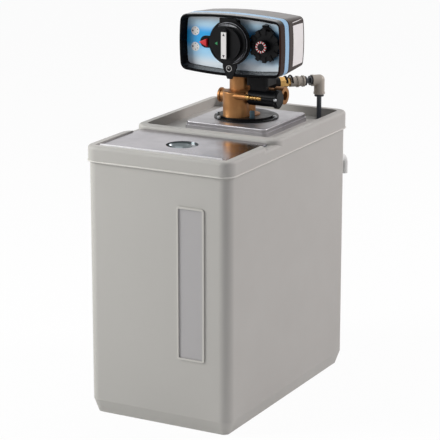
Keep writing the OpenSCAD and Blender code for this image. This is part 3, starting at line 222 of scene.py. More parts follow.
def tone_drift(tree, place, first, second, size_mm):
    """A slow drift between two tones, as pigment and light give a large moulding."""
    noise = add(tree, "TexNoise", {}, {"Vector": place, "Scale": per_metre(size_mm), "Detail": 2.0})
    spread = add(tree, "MapRange", {}, {"Value": noise.outputs["Fac"], "From Min": 0.35, "From Max": 0.65})
    mix = add(
        tree,
        "Mix",
        {"data_type": "RGBA"},
        {"Factor": spread.outputs["Result"], "A": linear(first), "B": linear(second)},
    )
    return mix.outputs["Result"]


def grain(tree, place, size_mm, depth_mm):
    """Bump of a fine irregular grain."""
    noise = add(tree, "TexNoise", {}, {"Vector": place, "Scale": per_metre(size_mm), "Detail": 3.0})
    height = {"Height": noise.outputs["Fac"], "Strength": 1.0, "Distance": depth_mm * MM}
    return add(tree, "Bump", {}, height).outputs["Normal"]


def worn_gloss(tree, place, size_mm, low, high):
    """Roughness that wanders a little, as handling leaves it."""
    noise = add(tree, "TexNoise", {}, {"Vector": place, "Scale": per_metre(size_mm), "Detail": 4.0})
    spread = add(
        tree,
        "MapRange",
        {},
        {"Value": noise.outputs["Fac"], "From Min": 0.3, "From Max": 0.7, "To Min": low, "To Max": high},
    )
    return spread.outputs["Result"]


def wiped_top(tree, shader, polish):
    """A polish that lies on the top alone, where a cloth wipes it, and leaves upright faces dull."""
    normal = add(tree, "NewGeometry").outputs["Normal"]
    upward = add(tree, "SeparateXYZ", {}, {"Vector": normal}).outputs["Z"]
    share = add(
        tree,
        "MapRange",
        {},
        {"Value": upward, "From Min": 0.5, "From Max": 0.95, "To Min": 0.0, "To Max": polish},
    )
    tree.links.new(share.outputs["Result"], shader.inputs["Coat Weight"])


def within(tree, place, middle, half):
    """One inside a box with that middle and those half sizes, and nought outside."""
    axes = add(tree, "SeparateXYZ", {}, {"Vector": place})
    inside = 1.0
    for axis, centre, reach in zip("XYZ", middle, half):
        near = add(tree, "Math", {"operation": "COMPARE"}, {0: axes.outputs[axis], 1: centre, 2: reach})
        both = add(tree, "Math", {"operation": "MULTIPLY"}, {0: inside, 1: near.outputs["Value"]})
        inside = both.outputs["Value"]
    return inside


def seen_directly(tree):
    """One for what the camera, a polished surface or a clear one shows, and nought for other light."""
    path = add(tree, "LightPath")
    seen = path.outputs["Is Camera Ray"]
    for kind in ("Is Glossy Ray", "Is Transmission Ray"):
        seen = add(tree, "Math", {"operation": "MAXIMUM"}, {0: seen, 1: path.outputs[kind]}).outputs[0]
    return seen


def plastic(name, first, second, roughness, grain_mm, depth_mm, **sockets):
    """A moulded plastic: two close tones, a spark-eroded grain and a gloss that wanders."""
    material, tree, shader, place = blank(name, roughness, IOR=1.49, **sockets)
    tree.links.new(tone_drift(tree, place, first, second, 60), shader.inputs["Base Color"])
    tree.links.new(grain(tree, place, grain_mm, depth_mm), shader.inputs["Normal"])
    tree.links.new(
        worn_gloss(tree, place, 14, roughness - 0.05, roughness + 0.06), shader.inputs["Roughness"]
    )
    return material


def moulded_polypropylene():
    """Rotationally moulded polypropylene: a soft matte grey with a faint eggshell grain."""
    finish = settings("finish")
    material, tree, shader, place = blank("moulded_polypropylene", 0.52, IOR=1.49)
    tone = tone_drift(tree, place, finish.cabinet, finish.cabinet_drift, 260)
    # The rib frame's crest on the front is painted pale, a painted highlight, and the field inside it is
    # painted a cooler grey, a painted shade.
    trim = settings("trim")
    margin, crest, inset = 1 * MM, 0.9 * MM, 3 * MM
    middle = Vector((trim.rib_x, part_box("cabinet_body")[0].y, trim.rib_z + trim.rib_h / 2))
    inner = Vector((trim.rib_w / 2 - trim.rib_t, inset, trim.rib_h / 2 - trim.rib_t))
    outer = Vector((trim.rib_w / 2 + margin, crest, trim.rib_h / 2 + margin))
    for half, colour in ((inner, "#aaa8a8"), (outer, "#bfbdb7")):
        share = within(tree, place, middle, half)
        blend = add(
            tree, "Mix", {"data_type": "RGBA"}, {"Factor": share, "A": tone, "B": linear(colour)}
        )
        tone = blend.outputs["Result"]
    # The skirt's rolled edge catches the light as a pale line.
    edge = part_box("top_cover")[0].z + 1.3 * MM
    height = add(tree, "SeparateXYZ", {}, {"Vector": place}).outputs["Z"]
    away = add(tree, "Math", {"operation": "SUBTRACT"}, {0: height, 1: edge}).outputs["Value"]
    away = add(tree, "Math", {"operation": "ABSOLUTE"}, {0: away}).outputs["Value"]
    share = add(
        tree,
        "MapRange",
        {},
        {"Value": away, "From Min": 0.8 * MM, "From Max": 2.2 * MM, "To Min": 1.0, "To Max": 0.0},
    )
    tone = add(
        tree,
        "Mix",
        {"data_type": "RGBA"},
        {"Factor": share.outputs["Result"], "A": tone, "B": linear("#cfcdc7")},
    ).outputs["Result"]
    tree.links.new(tone, shader.inputs["Base Color"])
    # The real grain is about 0.4 mm wide, drawn wider here so that it shows.
    tree.links.new(grain(tree, place, 1.4, 0.035), shader.inputs["Normal"])
    tree.links.new(worn_gloss(tree, place, 45, 0.46, 0.58), shader.inputs["Roughness"])
    return material


def metallised_abs():
    """ABS with a vacuum-metallised skin: a silver mirror, a little hazy where it is wiped."""
    finish = settings("finish")
    material, tree, shader, place = blank("metallised_abs", 0.12, 1.0)
    # The finger well and the lid's faces below its top, under the lid, are painted darker: painted
    # reflection in the well and painted shade under the lid.
    height = add(tree, "SeparateXYZ", {}, {"Vector": place}).outputs["Z"]
    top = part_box("salt_lid")[1].z
    share = add(tree, "Math", {"operation": "LESS_THAN"}, {0: height, 1: top - 0.8 * MM})
    tone = add(
        tree,
        "Mix",
        {"data_type": "RGBA"},
        {
            "Factor": share.outputs["Value"],
            "A": tone_drift(tree, place, finish.silver, "#908d93", 90),
            "B": linear("#6d7476"),
        },
    )
    tree.links.new(tone.outputs["Result"], shader.inputs["Base Color"])
    tree.links.new(worn_gloss(tree, place, 22, 0.14, 0.24), shader.inputs["Roughness"])
    tree.links.new(grain(tree, place, 30, 0.02), shader.inputs["Normal"])
    return material


def painted_abs():
    """ABS sprayed with silver-grey lacquer: a soft metallic sheen without a mirror image."""
    finish = settings("finish")
    material, tree, shader, place = blank("painted_abs", 0.34, 0.8)
    tree.links.new(tone_drift(tree, place, finish.plate, "#9f9da1", 60), shader.inputs["Base Color"])
    tree.links.new(grain(tree, place, 0.6, 0.006), shader.inputs["Normal"])
    tree.links.new(worn_gloss(tree, place, 18, 0.3, 0.4), shader.inputs["Roughness"])
    return material


def cast_bronze():
    """Gunmetal bronze, cast and skimmed upright: warm brown, with upright streaks painted lighter and
    darker as painted highlight and shade bands.
    """
    finish = settings("finish")
    material, tree, shader, place = blank("cast_bronze", 0.32, 1.0)
    # The upright streaks are painted highlight and shade bands; the slow cloud under them is the casting's
    # own mottle.
    drawn = add(tree, "Mapping", {}, {"Vector": place, "Scale": (1, 1, 0.06)}).outputs["Vector"]
    streak = add(tree, "TexNoise", {}, {"Vector": drawn, "Scale": per_metre(3.2), "Detail": 5.0})
    cloud = add(tree, "TexNoise", {}, {"Vector": place, "Scale": per_metre(24), "Detail": 3.0})
    both = add(
        tree,
        "Math",
        {"operation": "MULTIPLY_ADD"},
        {0: streak.outputs["Fac"], 1: 0.3, 2: cloud.outputs["Fac"]},
    )
    spread = add(tree, "MapRange", {}, {"Value": both.outputs["Value"], "From Min": 0.35, "From Max": 0.95})
    ramp = add(tree, "ValToRGB", {}, {"Fac": spread.outputs["Result"]})
    ramp.color_ramp.elements[0].color = linear(finish.bronze_dark)
    ramp.color_ramp.elements[1].color = linear("#ac8054")
    ramp.color_ramp.elements.new(0.5).color = linear(finish.bronze)
    tree.links.new(ramp.outputs["Color"], shader.inputs["Base Color"])
    tree.links.new(grain(tree, place, 2.2, 0.02), shader.inputs["Normal"])
    tree.links.new(worn_gloss(tree, place, 9, 0.42, 0.54), shader.inputs["Roughness"])
    return material


def turned_brass():
    """Free-cutting brass off the lathe: a warm yellow with a trace of tool marks."""
    finish = settings("finish")
    material, tree, shader, place = blank("turned_brass", 0.22, 1.0)
    tree.links.new(tone_drift(tree, place, finish.brass, "#9c7a48", 7), shader.inputs["Base Color"])
    tree.links.new(grain(tree, place, 0.9, 0.012), shader.inputs["Normal"])
    tree.links.new(worn_gloss(tree, place, 5, 0.18, 0.32), shader.inputs["Roughness"])
    return material


def zinc_steel():
    """Zinc-plated sheet steel: a cool grey with a faint spangle."""
    material, tree, shader, place = blank("zinc_steel", 0.34, 1.0)
    cells = add(tree, "TexVoronoi", {}, {"Vector": place, "Scale": per_metre(5)})
    tone = add(
        tree,
        "Mix",
        {"data_type": "RGBA"},
        {"Factor": cells.outputs["Distance"], "A": linear("#8f9296"), "B": linear("#b9bbbd")},
    )
    tree.links.new(tone.outputs["Result"], shader.inputs["Base Color"])
    tree.links.new(worn_gloss(tree, place, 6, 0.28, 0.42), shader.inputs["Roughness"])
    return material


def bezel_abs():
    """Satin black ABS with a warm brown painted highlight along the right rim."""
    finish = settings("finish")
    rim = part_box("timer_housing")[1].x
    material, tree, shader, place = blank(
        "bezel_abs", 0.3, IOR=1.53, Specular_IOR_Level=0.05, Coat_Roughness=0.22
    )
    # A warm brown painted highlight fades in towards the right rim.
    across = add(tree, "SeparateXYZ", {}, {"Vector": place}).outputs["X"]
    share = add(
        tree, "MapRange", {}, {"Value": across, "From Min": rim - 5 * MM, "From Max": rim - 1.5 * MM}
    )
    tone = add(
        tree,
        "Mix",
        {"data_type": "RGBA"},
        {
            "Factor": share.outputs["Result"],
            "A": linear(finish.black),
            "B": linear(finish.bezel_brown),
        },
    )
    tree.links.new(tone.outputs["Result"], shader.inputs["Base Color"])
    tree.links.new(grain(tree, place, 1.1, 0.012), shader.inputs["Normal"])
    tree.links.new(worn_gloss(tree, place, 12, 0.24, 0.36), shader.inputs["Roughness"])
    wiped_top(tree, shader, 0.95)
    return material


def brown_abs():
    """Brown-grey ABS of the rear cover: dull at the sides, with a polished top that mirrors the room."""
    finish = settings("finish")
    material, tree, shader, place = blank(
        "brown_abs", 0.4, IOR=1.53, Specular_IOR_Level=0.08, Coat_Roughness=0.32
    )
    tree.links.new(tone_drift(tree, place, finish.rear_brown, "#352c29", 60), shader.inputs["Base Color"])
    tree.links.new(grain(tree, place, 1.0, 0.015), shader.inputs["Normal"])
    tree.links.new(worn_gloss(tree, place, 14, 0.35, 0.46), shader.inputs["Roughness"])
    wiped_top(tree, shader, 0.7)
    return material


def printed_dial():
    """Pale grey ABS disc, printed on its face, and black on its sides and back."""
    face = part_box("hour_dial")[0].y
    material, tree, shader, place = blank("printed_dial", 0.4, IOR=1.53)
    depth = add(tree, "SeparateXYZ", {}, {"Vector": place}).outputs["Y"]
    share = add(tree, "Math", {"operation": "GREATER_THAN"}, {0: depth, 1: face + 0.1 * MM})
    pale = tone_drift(tree, place, "#d4d6da", "#c6c9ce", 20)
    tone = add(
        tree,
        "Mix",
        {"data_type": "RGBA"},
        {"Factor": share.outputs["Value"], "A": pale, "B": linear(settings("finish").black)},
    )
    tree.links.new(tone.outputs["Result"], shader.inputs["Base Color"])
    tree.links.new(grain(tree, place, 1.0, 0.015), shader.inputs["Normal"])
    return material


def printed_film():
    """Back-printed polycarbonate film: a sky blue that fades to near white below and above."""
    low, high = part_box("face_panel")
    material, tree, shader, place = blank("printed_film", 0.22, IOR=1.58)
    height = add(tree, "SeparateXYZ", {}, {"Vector": place})
    share = add(
        tree, "MapRange", {}, {"Value": height.outputs["Z"], "From Min": low.z, "From Max": high.z}
    )
    ramp = add(tree, "ValToRGB", {}, {"Fac": share.outputs["Result"]})
    ramp.color_ramp.interpolation = "EASE"
    stops = ramp.color_ramp.elements
    stops[0].position, stops[0].color = 0.06, linear("#ecf7ff")
    stops[1].position, stops[1].color = 1.0, linear("#f0f7fc")
    for position, colour in ((0.3, "#a8deff"), (0.5, "#1cb2fb"), (0.66, "#1eaffa"), (0.86, "#c2e8ff")):
        stops.new(position).color = linear(colour)
    # A navy painted shadow lies round the day wheel, standing in for the shade that the wheel and the knob
    # cast on the panel.
    wheel = middle_of("day_wheel")
    reach = add(tree, "VectorMath", {"operation": "DISTANCE"}, {0: place, 1: (wheel.x, low.y, wheel.z)})
    shade = add(
        tree,
        "MapRange",
        {"interpolation_type": "SMOOTHSTEP"},
        {
            "Value": reach.outputs["Value"],
            "From Min": 20 * MM,
            "From Max": 37 * MM,
            "To Min": 0.9,
            "To Max": 0.0,
        },
    )
    tone = add(
        tree,
        "Mix",
        {"data_type": "RGBA"},
        {"Factor": shade.outputs["Result"], "A": ramp.outputs["Color"], "B": linear("#163252")},
    )
    tree.links.new(tone.outputs["Result"], shader.inputs["Base Color"])
    tree.links.new(grain(tree, place, 0.7, 0.004), shader.inputs["Normal"])
    tree.links.new(worn_gloss(tree, place, 10, 0.18, 0.28), shader.inputs["Roughness"])
    return material


def dress(material, *nodes):
    """Gives CAD nodes a material."""
    for node in nodes:
        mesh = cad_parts[node].data
        mesh.materials.clear()
        mesh.materials.append(material)


def make_piece(name, bm, material, body):
    """Turns a bmesh into a piece that rides on a body, smooth but for its hard edges."""
    bmesh.ops.remove_doubles(bm, verts=bm.verts, dist=0.001 * MM)
    bmesh.ops.recalc_face_normals(bm, faces=bm.faces)
    mesh = bpy.data.meshes.new(name)
    bm.to_mesh(mesh)
    bm.free()
    mesh.materials.append(material)
    mesh.shade_smooth()
    mesh.set_sharp_from_angle(angle=math.radians(35))
    piece = bpy.data.objects.new(name, mesh)
    bpy.context.scene.collection.objects.link(piece)
    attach(piece, body)


def upright_rod(bm, foot, length, r, tip_r):
    """Adds a capped upright rod from its foot, with a radius below and one at the tip."""
    bmesh.ops.create_cone(
        bm,
        cap_ends=True,
        segments=24,
        radius1=r,
        radius2=tip_r,
        depth=length,
        matrix=Matrix.Translation(foot + UP * length / 2),
    )


def rounded_block(bm, size, edge_r):
    """Adds a block of that size round the origin, with rounded edges."""
    made = bmesh.ops.create_cube(bm, size=1.0)["verts"]
    bmesh.ops.scale(bm, vec=size, verts=made)
    bmesh.ops.bevel(
        bm, geom=bm.edges[:], offset=edge_r, affect="EDGES", segments=3, profile=0.5, material=-1
    )


def raised_mark(bm, outline, front_y, lift):
    """Adds a thin upright mark, from an outline in X and Z, on a face that looks to the front."""
    face = bm.faces.new([bm.verts.new((x, front_y, z)) for x, z in outline])
    grown = bmesh.ops.extrude_face_region(bm, geom=[face])["geom"]
    bmesh.ops.translate(
        bm, vec=FRONT * lift, verts=[g for g in grown if isinstance(g, bmesh.types.BMVert)]
    )


def ring_points(x, z, r, count):
    """Points round a circle in X and Z, clockwise seen from the front, from the top."""
    steps = [2 * math.pi * i / count for i in range(count)]
    return [(x + r * math.sin(a), z + r * math.cos(a)) for a in steps]


def turned_box(x, z, radius, angle, w, h):
    """Corners of a small bar at a radius and clock angle round a centre."""
    out = Vector((math.sin(angle), math.cos(angle)))
    side = Vector((out.y, -out.x))
    middle = Vector((x, z)) + out * radius
    corners = [(-1, -1), (1, -1), (1, 1), (-1, 1)]
    return [tuple(middle + side * (i * w / 2) + out * (j * h / 2)) for i, j in corners]


def lay_on(bm, node, towards, lift):
    """Moves every vertex onto a CAD node's surface, met along a direction, and lifts it off a little."""
    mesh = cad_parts[node].data
    tree = BVHTree.FromPolygons([v.co for v in mesh.vertices], [p.vertices for p in mesh.polygons])
    for vert in bm.verts:
        hit = tree.ray_cast(vert.co - towards, towards)[0]
        vert.co = hit - towards * lift


class Operation:
    """What the softener's operators share."""

    bl_options = {"REGISTER"}


class SOFTENER_OT_stage(Operation, bpy.types.Operator):
    """Sets the floor, the light and the camera"""

    bl_idname = "softener.stage"
    bl_label = "Stage"

    def execute(self, context):
        stage = settings("stage")
        self.world(context.scene, stage)
        self.floor(context.scene, stage)
        for name, place, size, power, tint in (
            ("key_light", (-1.56, -1.2, 1.28), 0.96, stage.key, "#fffffd"),
            ("fill_light", (2.2, 1.6, 2.1), 1.3, stage.fill, "#fff8f8"),
            ("top_light", (-0.2, 0.5, 2.6), 1.6, stage.top, "#ffffff"),
        ):
            lamp = bpy.data.lights.new(name, "AREA")
            lamp.energy, lamp.size, lamp.color = power, size, linear(tint)[:3]
            light = bpy.data.objects.new(name, lamp)
            light.location = place
            aim = Vector((0, 0, 0.35)) - light.location
            light.rotation_euler = aim.to_track_quat("-Z", "Y").to_euler()
            context.scene.collection.objects.link(light)
        self.camera(context.scene, stage)
        context.scene.view_settings.view_transform = "Standard"
        return {"FINISHED"}

    def world(self, scene, stage):
        """Even light from all round, which the camera and polished surfaces see as white."""
        world = bpy.data.worlds.new("studio")
        world.use_nodes = True
        tree = world.node_tree
        tree.nodes.clear()
        seen = seen_directly(tree)
        even = add(tree, "Background", {}, {"Color": linear("#f4f6ff"), "Strength": stage.ambient})
        white = add(tree, "Background", {}, {"Color": linear("#ffffff"), "Strength": 1.0})
        mix = add(
            tree, "MixShader", {}, {0: seen, 1: even.outputs["Background"], 2: white.outputs["Background"]}
        )
        add(tree, "OutputWorld", {}, {"Surface": mix.outputs["Shader"]})
        scene.world = world

    def floor(self, scene, stage):
        """A pale floor that keeps the shadow and fades into the white round it."""
        bm = bmesh.new()
        bmesh.ops.create_circle(bm, cap_ends=True, segments=96, radius=stage.floor_size)
        mesh = bpy.data.meshes.new("floor")
        bm.to_mesh(mesh)
        bm.free()
        material, tree, shader, place = blank("pale_floor", 0.9)
        shader.inputs["Base Color"].default_value = linear("#f1f1f1")
        share = add(tree, "Math", {"operation": "MULTIPLY"}, {0: seen_directly(tree), 1: 0.95})
        white = add(tree, "Emission", {}, {"Color": linear("#ffffff"), "Strength": 1.0})
        mix = add(
            tree,
            "MixShader",
            {},
            {0: share.outputs["Value"], 1: shader.outputs["BSDF"], 2: white.outputs["Emission"]},
        )
        tree.links.new(mix.outputs["Shader"], tree.nodes["Material Output"].inputs["Surface"])
        mesh.materials.append(material)
        floor = bpy.data.objects.new("floor", mesh)
        scene.collection.objects.link(floor)

    def camera(self, scene, stage):
        """The camera at the photograph's angle."""
        data = bpy.data.cameras.new("camera")
        data.lens, data.sensor_width = stage.lens, 36.0
        camera = bpy.data.objects.new("camera", data)
        camera.location = stage.camera_place
        flat = math.cos(stage.elevation)
        look = Vector((
            -math.sin(stage.azimuth) * flat,
            math.cos(stage.azimuth) * flat,
            -math.sin(stage.elevation),
        ))
        camera.rotation_euler = look.to_track_quat("-Z", "Y").to_euler()
        scene.collection.objects.link(camera)
        scene.camera = camera


class SOFTENER_OT_cabinet(Operation, bpy.types.Operator):
    """Finishes the tub, the cover, the lid and the valve plate, and adds the lid's front lip"""

    bl_idname = "softener.cabinet"
    bl_label = "Cabinet"

    def execute(self, context):
        dress(moulded_polypropylene(), "cabinet_body", "top_cover")
        dress(metallised_abs(), "salt_lid")
        dress(painted_abs(), "valve_plate")
        # The lip is near-white, a painted highlight of the lid's front edge.
        self.lid_lip(plastic("lip_painted_highlight", "#f0eff1", "#e6e5e8", 0.3, 1.0, 0.005))
        return {"FINISHED"}

    def lid_lip(self, lip_highlight):
        """Turned-up lip along the lid's front edge, near-white as a painted highlight, which shows as a
        bright line over the rim.
        """
        low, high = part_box("salt_lid")
        end_gap, setback, edge_r = 7 * MM, 1.5 * MM, 0.7 * MM
        depth, rise, sunk = 1.8 * MM, 3.8 * MM, 1 * MM
        bm = bmesh.new()
        rounded_block(bm, (high.x - low.x - 2 * end_gap, depth, rise + sunk), edge_r)
        place = Vector(((low.x + high.x) / 2, low.y + setback, high.z + (rise - sunk) / 2))
        bmesh.ops.translate(bm, vec=place, verts=bm.verts)
        make_piece("lid_lip", bm, lip_highlight, "salt_lid")


class SOFTENER_OT_inside(Operation, bpy.types.Operator):
    """Finishes the pieces inside the tub and the tank"""

    bl_idname = "softener.inside"
    bl_label = "Inside"

    def execute(self, context):
        dress(
            plastic("white_polypropylene", "#e4e5e2", "#dadbd8", 0.42, 1.2, 0.02),
            "overflow_elbow", "overflow_nut", "salt_grid", "brine_well", "pickup_pipe", "air_check",
            "riser_tube", "bottom_strainer", "top_strainer", "seal_spacers", "end_plug",
        )
        dress(plastic("float_polypropylene", "#b0aca4", "#a6a29a", 0.45, 1.2, 0.02), "safety_float")
        dress(plastic("wound_fibreglass", "#5f7a94", "#566f88", 0.35, 2.5, 0.05), "resin_tank")
        dress(plastic("nitrile_rubber", "#17181a", "#1d1e20", 0.6, 0.8, 0.02), "seal_rings")
        dress(zinc_steel(), "chassis_plate", "drive_motor")
        return {"FINISHED"}


class SOFTENER_OT_valve(Operation, bpy.types.Operator):
    """Finishes the valve, its ring and its injector, and adds their small trim"""

    bl_idname = "softener.valve"
    bl_label = "Valve"

    def execute(self, context):
        finish = settings("finish")
        black = plastic(
            "glass_filled_nylon", finish.black, "#101113", 0.36, 0.9, 0.02, Specular_IOR_Level=0.15
        )
        dress(cast_bronze(), "valve_body")
        dress(turned_brass(), "piston", "injector_nozzle", "brine_stem", "brine_fitting", "motor_pinion")
        dress(black, "neck_ring", "injector_body", "injector_cap", "nozzle_sleeve")
        self.ring_screws()
        self.lock_tag(finish)
        self.nozzle_tip()
        return {"FINISHED"}

    def ring_screws(self):
        """Cap screws that hold the neck ring down, on its lower step."""
        low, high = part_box("neck_ring")
        reach, step = (high.x - low.x) / 2 - 4 * MM, 3 * MM
        head_r, head_h = 3.3 * MM, 2.6 * MM
        crown_r, crown_tip_r, crown_h = 2.9 * MM, 2.4 * MM, 0.5 * MM
        bm = bmesh.new()
        for turn in (8, 112, 190, 232):
            angle = math.radians(turn)
            place = middle_of("neck_ring") + reach * Vector((math.cos(angle), math.sin(angle), 0))
            place.z = high.z - step
            upright_rod(bm, place, head_h, head_r, head_r)
            upright_rod(bm, place + UP * head_h, crown_h, crown_r, crown_tip_r)
        make_piece("ring_screws", bm, zinc_steel(), "cabinet")

    def lock_tag(self, finish):
        """Blue-grey tag that locks the ring, beside the front chamber."""
        size, edge_r = Vector((8, 5, 13)) * MM, 1.2 * MM
        place = Vector((26.5 * MM, 55 * MM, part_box("neck_ring")[1].z + size.z / 2))
        turn = Matrix.Rotation(math.radians(35), 3, "Z")
        bm = bmesh.new()
        rounded_block(bm, size, edge_r)
        bmesh.ops.rotate(bm, cent=(0, 0, 0), matrix=turn, verts=bm.verts)
        bmesh.ops.translate(bm, vec=place, verts=bm.verts)
        tag = plastic("polyamide_tag", finish.tag, "#445c67", 0.4, 0.9, 0.02)
        make_piece("lock_tag", bm, tag, "cabinet")

    def nozzle_tip(self):
        """Steel check ball at the end of the nozzle's sleeve."""
        ball_r, proud = 3 * MM, 0.6 * MM
        place = middle_of("nozzle_sleeve")
        place.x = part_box("nozzle_sleeve")[1].x + proud
        bm = bmesh.new()
        bmesh.ops.create_uvsphere(bm, u_segments=32, v_segments=16, radius=ball_r)
        bmesh.ops.translate(bm, vec=place, verts=bm.verts)
        make_piece("nozzle_tip", bm, zinc_steel(), "cabinet")


class SOFTENER_OT_brine_line(Operation, bpy.types.Operator):
    """Finishes the brine line and adds its retaining clip"""

    bl_idname = "softener.brine_line"
    bl_label = "Brine line"

    def execute(self, context):
        finish = settings("finish")
        dress(
            plastic("acetal", finish.acetal, "#aca498", 0.36, 1.0, 0.02),
            "line_connector", "line_elbow", "program_cam",
        )
        dress(
            plastic("acetal_collet", finish.collet, "#3c3e42", 0.4, 0.8, 0.015),
            "connector_collet", "elbow_collet_in", "elbow_collet_out",
        )
        dress(
            plastic("polyethylene_tube", finish.tube, "#343940", 0.34, 1.6, 0.02), "link_tube", "brine_tube"
        )
        self.clip(finish)
        return {"FINISHED"}

    def clip(self, finish):
        """Two sprung loops that stand over the brass fitting and hold the line."""
        middle, wire_r = middle_of("brine_fitting"), 1.5 * MM
        along = middle_of("line_elbow") - middle
        along.z = 0
        along.normalize()
        side = along.cross(UP)
        bm = bmesh.new()
        for step, loop_r in ((3 * MM, 9.5 * MM), (12 * MM, 10.5 * MM)):
            centre = middle + along * step
            start = Matrix.Translation(centre + side * loop_r)
            wire = bmesh.ops.create_circle(bm, segments=12, radius=wire_r, matrix=start)["verts"]
            bmesh.ops.spin(
                bm,
                geom=wire + list({e for v in wire for e in v.link_edges}),
                cent=centre,
                axis=along,
                angle=-math.pi,
                steps=24,
            )
        bmesh.ops.holes_fill(bm, edges=bm.edges[:])
        nylon = plastic("sprung_nylon", finish.black, "#121315", 0.34, 0.8, 0.015, Specular_IOR_Level=0.15)
        make_piece("line_clip", bm, nylon, "cabinet")


class SOFTENER_OT_head(Operation, bpy.types.Operator):
    """Finishes the timer head's shells and adds its panel badges and bare label"""

    bl_idname = "softener.head"
    bl_label = "Timer head"

    def execute(self, context):
        finish = settings("finish")
        dress(bezel_abs(), "timer_housing")
        dress(printed_film(), "face_panel")
        dress(plastic("blue_abs", finish.band, "#86b2d6", 0.3, 1.0, 0.012), "trim_band")
        dress(brown_abs(), "rear_cover")
        self.badges(finish)
        self.label(finish)
        return {"FINISHED"}

    def badges(self, finish):
        """Two white discs printed on the panel, each with a plain pointer mark."""
        trim = settings("trim")
        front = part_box("face_panel")[0].y
        middle = middle_of("hour_dial").z - 1.2 * MM
        mark_r, pointer, tick = 4.6 * MM, (2.4 * MM, 2.2 * MM), (0.7 * MM, 1.8 * MM)
        discs, marks = bmesh.new(), bmesh.new()
        for step in (0.5, -0.5):
            z = middle + step * trim.badge_step
            raised_mark(discs, ring_points(-trim.badge_x, z, trim.badge_r, 48), front, trim.mark_lift)
            for angle in (-90, 0, 60, 120, 180):
                size = pointer if angle == -90 else tick
                mark = turned_box(-trim.badge_x, z, mark_r, math.radians(angle), *size)
                raised_mark(marks, mark, front - trim.mark_lift, trim.mark_lift)
        make_piece("panel_badges", discs, plastic("white_ink", "#fbfaf8", "#f2f1ef", 0.35, 0.8, 0.005),
                   "cabinet")
        make_piece("badge_marks", marks, plastic("dark_ink", finish.ink, "#2c2f35", 0.35, 0.8, 0.005),
                   "cabinet")

    def label(self, finish):
        """A bare label on the right side of the rear cover."""
        trim = settings("trim")
        low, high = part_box("rear_cover")
        setback, raised, lift, thickness = 34.5 * MM, 2 * MM, 0.25 * MM, 0.15 * MM
        upright = Matrix.Rotation(math.pi / 2, 3, "Y")
        bm = bmesh.new()
        bmesh.ops.create_grid(bm, x_segments=8, y_segments=12, size=0.5)
        bmesh.ops.rotate(bm, cent=(0, 0, 0), matrix=upright, verts=bm.verts)
        bmesh.ops.scale(bm, vec=(1, trim.label_l, trim.label_h), verts=bm.verts)
        place = Vector((high.x, low.y + setback, (low.z + high.z) / 2 + raised))
        bmesh.ops.translate(bm, vec=place, verts=bm.verts)
        lay_on(bm, "rear_cover", Vector((-1, 0, 0)), lift)
        bmesh.ops.solidify(bm, geom=bm.faces[:], thickness=thickness)
        make_piece("side_label", bm, plastic("label_stock", finish.white, "#e6e2e4", 0.4, 1.4, 0.01),
                   "cabinet")


